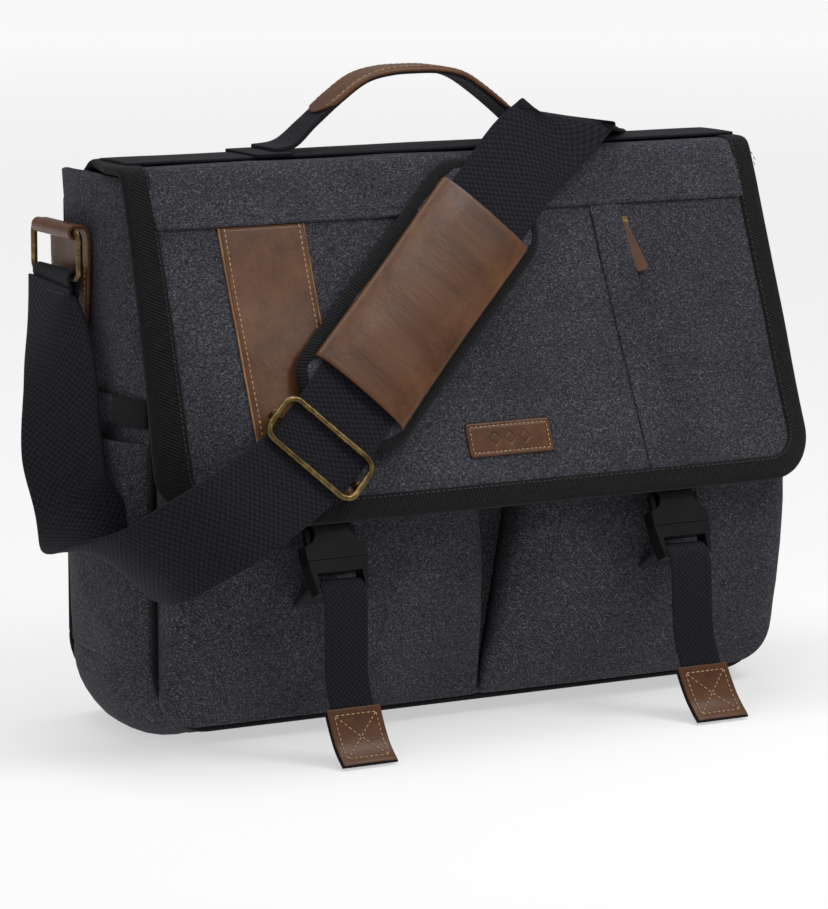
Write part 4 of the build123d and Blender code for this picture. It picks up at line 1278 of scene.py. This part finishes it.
def makeHandle():
    s = handleShape
    path, length = evenly(smoothRows(s["line"], 24), 2.0)
    count = len(path)

    def around(share, aside, lift):
        x, z = pick(path, share)
        a, b = pick(path, share - 0.01), pick(path, share + 0.01)
        way = Vector((b[0] - a[0], 0, b[1] - a[1])).normalized()
        out = Vector((-way.z, 0, way.x))
        return (Vector((x, aside, z)) + out * lift) * mm

    def webPlace(u, v):
        ends = max(0, 1 - min(v, 1 - v) * 6)
        half = (s["narrow"] + (s["wide"] - s["narrow"]) * ends ** 1.5) / 2
        side = 2 * u - 1
        return around(v, side * half, -0.5 * (1 - ends) * side * side)

    layCloth("handleWebbing", (16, count), webPlace, (0.026, length * mm), (0, 0, 1), webbing,
             ("handle", "webbing", "handle_webbing"), thickness=s["thick"] * mm, offset=0, bevel=0.5 * mm)

    first, last = [next(i for i, row in enumerate(path) if row[0] >= x) / (count - 1) for x in s["grip"]]
    radius = s["gripWidth"] / 2

    def gripHalf(v):
        end = min(v, 1 - v) * (last - first) * length  # mm from the nearer tongue end
        return radius if end > radius else math.sqrt(max(radius ** 2 - (radius - end) ** 2, 0.3))

    def gripPlace(u, v):
        side = (2 * u - 1) * gripHalf(v)
        fold = max(0, abs(side) - (s["narrow"] / 2 - 1)) ** 1.2
        lift = s["thick"] / 2 + 1.3 - fold * 0.9 - 0.3 * (side / radius) ** 2
        return around(first + (last - first) * v, side, lift)

    def row(t, side):
        v = 0.035 + 0.93 * t
        return around(first + (last - first) * v, side * max(gripHalf(v) - 2.3, 0.4), s["thick"] / 2 + 1.1)

    gripLength = (last - first) * length * mm
    layCloth("handleGrip", (20, 120), gripPlace, (0.024, gripLength), (0, 0, 1), leather,
             ("handle", "leather", "handle_grip"), thickness=1.3 * mm)
    rows = [(lambda t, side=side: row(t, side), gripLength * 0.93) for side in (-1, 1)]
    stitches("gripStitches", rows, tanThread, "handle", "leather", pitch=3.6, thread=0.4)

    for name in ("left", "right"):
        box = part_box("handle_foot_" + name)

        def place(u, v):
            x = box[0].x + (box[1].x - box[0].x) * u
            y = box[0].y + (box[1].y - box[0].y) * v
            edge = min(u, 1 - u, v, 1 - v)
            return Vector((x, y, box[1].z + 0.3 * mm * min(1, edge * 12)))

        layCloth("handleFoot" + name.capitalize(), (24, 30), place, (box[1].x - box[0].x, box[1].y - box[0].y),
                 (0, 0, 1), webbing, ("flap", "webbing", "handle_foot_" + name), thickness=2.1 * mm, bevel=0.5 * mm)


makeHandle()


def makeHardware():
    for name, side in sides.items():
        settle(softened("ring_" + name, "strapRing" + name.capitalize(), brass, 0), "ring_" + name, "brass")
        makeTab(side, name)
    settle(softened("slider", "strapSlider", brass, 0), "slider", "brass")
    settle(softened("zip_slider", "zipSlider", brass, 0.25 * mm), "zip_slider", "brass")
    settle(softened("zip_pull", "zipPull", tabLeather, 0.25 * mm), "zip_pull", "leather")


def makeTab(side, name):
    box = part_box("ring_tab_" + name)
    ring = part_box("ring_" + name)
    ringX = (ring[0].x + ring[1].x) / 2
    ringZ = ring[1].z - 1.75 * mm
    wall = side * (min(abs(box[0].x), abs(box[1].x)) + 1.2 * mm)
    y0, y1 = box[0].y, box[1].y
    line = [[wall, box[0].z + 1 * mm, 0], [wall, ringZ - 8 * mm, 0], [wall + side * 0.4 * mm, ringZ - 1 * mm, 0],
            [wall + side * 2.6 * mm, ringZ + 2.6 * mm, 0]]
    for part in range(11):
        turn = math.radians(120 - 25 * part)
        line.append([ringX + side * math.cos(turn) * 3.1 * mm, ringZ + math.sin(turn) * 3.1 * mm, 0])
    path, length = evenly(line, 0.0012)

    def place(u, v):
        x, z, spare = pick(path, v)
        away = z - line[0][1]
        half = (y1 - y0) / 2
        radius = 14 * mm
        if v < 0.5 and away < radius:
            half = half - radius + math.sqrt(max(radius ** 2 - (radius - away) ** 2, 0))
        half *= 0.86 + 0.14 * min(1, max(0, v * 2 - 0.1))
        return Vector((x, (y0 + y1) / 2 + (2 * u - 1) * half, z))

    bm = sheetOf(24, len(path), place, (y1 - y0, length))
    faceAtEnd(bm, (0, 0, -1), (side, 0, 0))
    tab = finishPiece(bm, "ringTab" + name.capitalize(), leather, thickness=1.8 * mm, offset=0, bevel=0.4 * mm)
    settle(tab, "bag", "leather", "ring_tab_" + name)

    def row(t, sign):
        v = 0.03 + 0.5 * t
        x, z, spare = pick(path, v)
        middle = (y0 + y1) / 2
        reach = place(0.5 + sign * 0.5, v).y - middle
        return Vector((x + side * mm, middle + reach * (1 - 3.2 * mm / max(abs(reach), 4 * mm)), z))

    rows = [(lambda t, sign=sign: row(t, sign), length * 0.5) for sign in (-1, 1)]
    stitches("tabStitches" + name.capitalize(), rows, tanThread, "bag", "leather", pitch=3.0, thread=0.7)


makeHardware()
print("stage: handle and hardware made")


def makeBuckle(name):
    cap = name.capitalize()
    settle(softened("socket_" + name, "buckleSocket" + cap, plastic, 0.7 * mm), "socket_" + name, "plastic")
    settle(softened("plug_" + name, "bucklePlug" + cap, plastic, 0.6 * mm), "bag", "plastic")
    for which in ("outer", "inner"):
        node = f"plug_arm_{name}_{which}"
        settle(softened(node, "buckleArm" + cap + which.capitalize(), plastic, 0.4 * mm), node, "plastic")


tailShape = {"width": 25, "tipWidth": 31, "tipLength": 33, "slant": {"left": 3.5, "right": 9}}


def makeTail(name):
    cap = name.capitalize()
    s = tailShape
    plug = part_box("plug_" + name)
    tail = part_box("tail_webbing_" + name)
    x = (plug[0].x + plug[1].x) / 2 / mm
    front = plug[0].y / mm
    top = tail[1].z / mm
    end = tail[0].y / mm
    line = [(front + 6.2, top - 1), (front + 0.6, plug[0].z / mm + 5), (front - 1.5, plug[0].z / mm - 4),
            (front - 0.4, 66), (front + 0.4, 44), (front - 4.5, 27), (end + 10.5, 10), (end + 1.2, 1.7)]
    path, length = evenly(smoothRows(line, 24), 1.5)

    def place(u, v, width=s["width"], lift=0.0):
        y, z = pick(path, v)
        a, b = pick(path, v - 0.01), pick(path, v + 0.01)
        way = Vector((0, b[0] - a[0], b[1] - a[1])).normalized()
        out = Vector((0, way.z, -way.y))
        side = 2 * u - 1
        twist = s["slant"][name] * min(1, v * 1.1) ** 1.3
        spot = Vector((x + side * width / 2 + twist, y, z)) + out * lift
        spot.z = max(spot.z, 1.0 + lift)
        return spot * mm

    layCloth("tailWebbing" + cap, (12, len(path)), place, (s["width"] * mm, length * mm), None, narrowWebbing,
             ("tail_" + name, "webbing", "tail_webbing_" + name), thickness=1.5 * mm, offset=0, bevel=0.35 * mm)

    start = 1 - s["tipLength"] / length

    def tip(u, v):
        return place(u, start + (1 - start) * v * 0.985, s["tipWidth"], 1.7 + 0.3 * math.sin(math.pi * u))

    tipSize = (s["tipWidth"] * mm, s["tipLength"] * mm)
    layCloth("tailTip" + cap, (20, 24), tip, tipSize, flapFront, leather,
             ("tail_" + name, "leather", "tail_tip_" + name), thickness=1.1 * mm, bevel=0.3 * mm)

    def back(u, v):
        return place(u, start + 0.005 + (1 - start - 0.006) * v, s["tipWidth"] + 1.5, 0.4)

    layCloth("tailTipBack" + cap, (12, 16), back, tipSize, flapFront, narrowWebbing, ("tail_" + name, "webbing"),
             thickness=1.2 * mm, bevel=0.3 * mm)

    def onTip(a, b):
        return tip(a, b) + Vector((0, -0.2, 0.1)) * mm

    # a square of stitches with a cross in it
    low, high = 0.11, 1 - 0.11
    corners = [(low, low), (high, low), (high, high), (low, high)]
    rows = []
    for first, last in ((0, 1), (1, 2), (2, 3), (3, 0), (0, 2), (1, 3)):
        (a0, b0), (a1, b1) = corners[first], corners[last]
        rows.append((lambda t, a0=a0, b0=b0, a1=a1, b1=b1: onTip(a0 + (a1 - a0) * t, b0 + (b1 - b0) * t),
                     math.hypot((a1 - a0) * s["tipWidth"], (b1 - b0) * s["tipLength"]) * mm))
    stitches("tailStitches" + cap, rows, tanThread, "tail_" + name, "leather", pitch=2.8, thread=0.7)


# the webbing that carries the socket, sewn under the flap, running down to its slot
def makeSocketWebbing(name):
    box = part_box("socket_" + name)
    x = (box[0].x + box[1].x) / 2
    half = tailShape["width"] / 2 * mm
    slotDrop = 188
    line = [(slotDrop + d, lift) for d, lift in ((-46, -3.7), (-20, -3.9), (-7, -5.2), (0.5, -7.5), (1.2, -9.5))]
    low = Vector((0, flapDown.y, flapDown.z))

    def place(u, v):
        drop, lift = pick(line, v)
        spot = flapCorner + low * drop + flapOut * lift
        return Vector((x + (2 * u - 1) * half, spot.y * mm, spot.z * mm))

    layCloth("socketWebbing" + name.capitalize(), (10, 24), place, (2 * half, 0.05), flapFront, narrowWebbing,
             ("flap", "webbing"), thickness=1.3 * mm)


def makeAnchor(name):
    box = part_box("anchor_webbing_" + name)
    x0, x1 = box[0].x, box[1].x

    def place(u, v):
        y = box[0].y + (box[1].y - box[0].y) * v
        z = box[1].z + (box[0].z - box[1].z) * v ** 1.1
        return Vector((x0 + (x1 - x0) * u, y, z))

    layCloth("anchorWebbing" + name.capitalize(), (10, 12), place, (x1 - x0, 0.028), None, narrowWebbing,
             ("bag", "webbing", "anchor_webbing_" + name), thickness=1.4 * mm, offset=0)


for name in ("left", "right"):
    makeBuckle(name)
    makeTail(name)
    makeSocketWebbing(name)
    makeAnchor(name)
print("stage: buckles and tails made")


# the pieces inside keep their shape
for node, material in (("zip_tape", canvas), ("zip_chain", plastic), ("lining", liningCloth),
                       ("laptop_divider", liningCloth), ("organizer_pocket", liningCloth), ("laptop_strap", plainTape),
                       ("base_board", plainTape)):
    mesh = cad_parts[node].data
    mesh.materials.clear()
    mesh.materials.append(material)


print("stage: done")
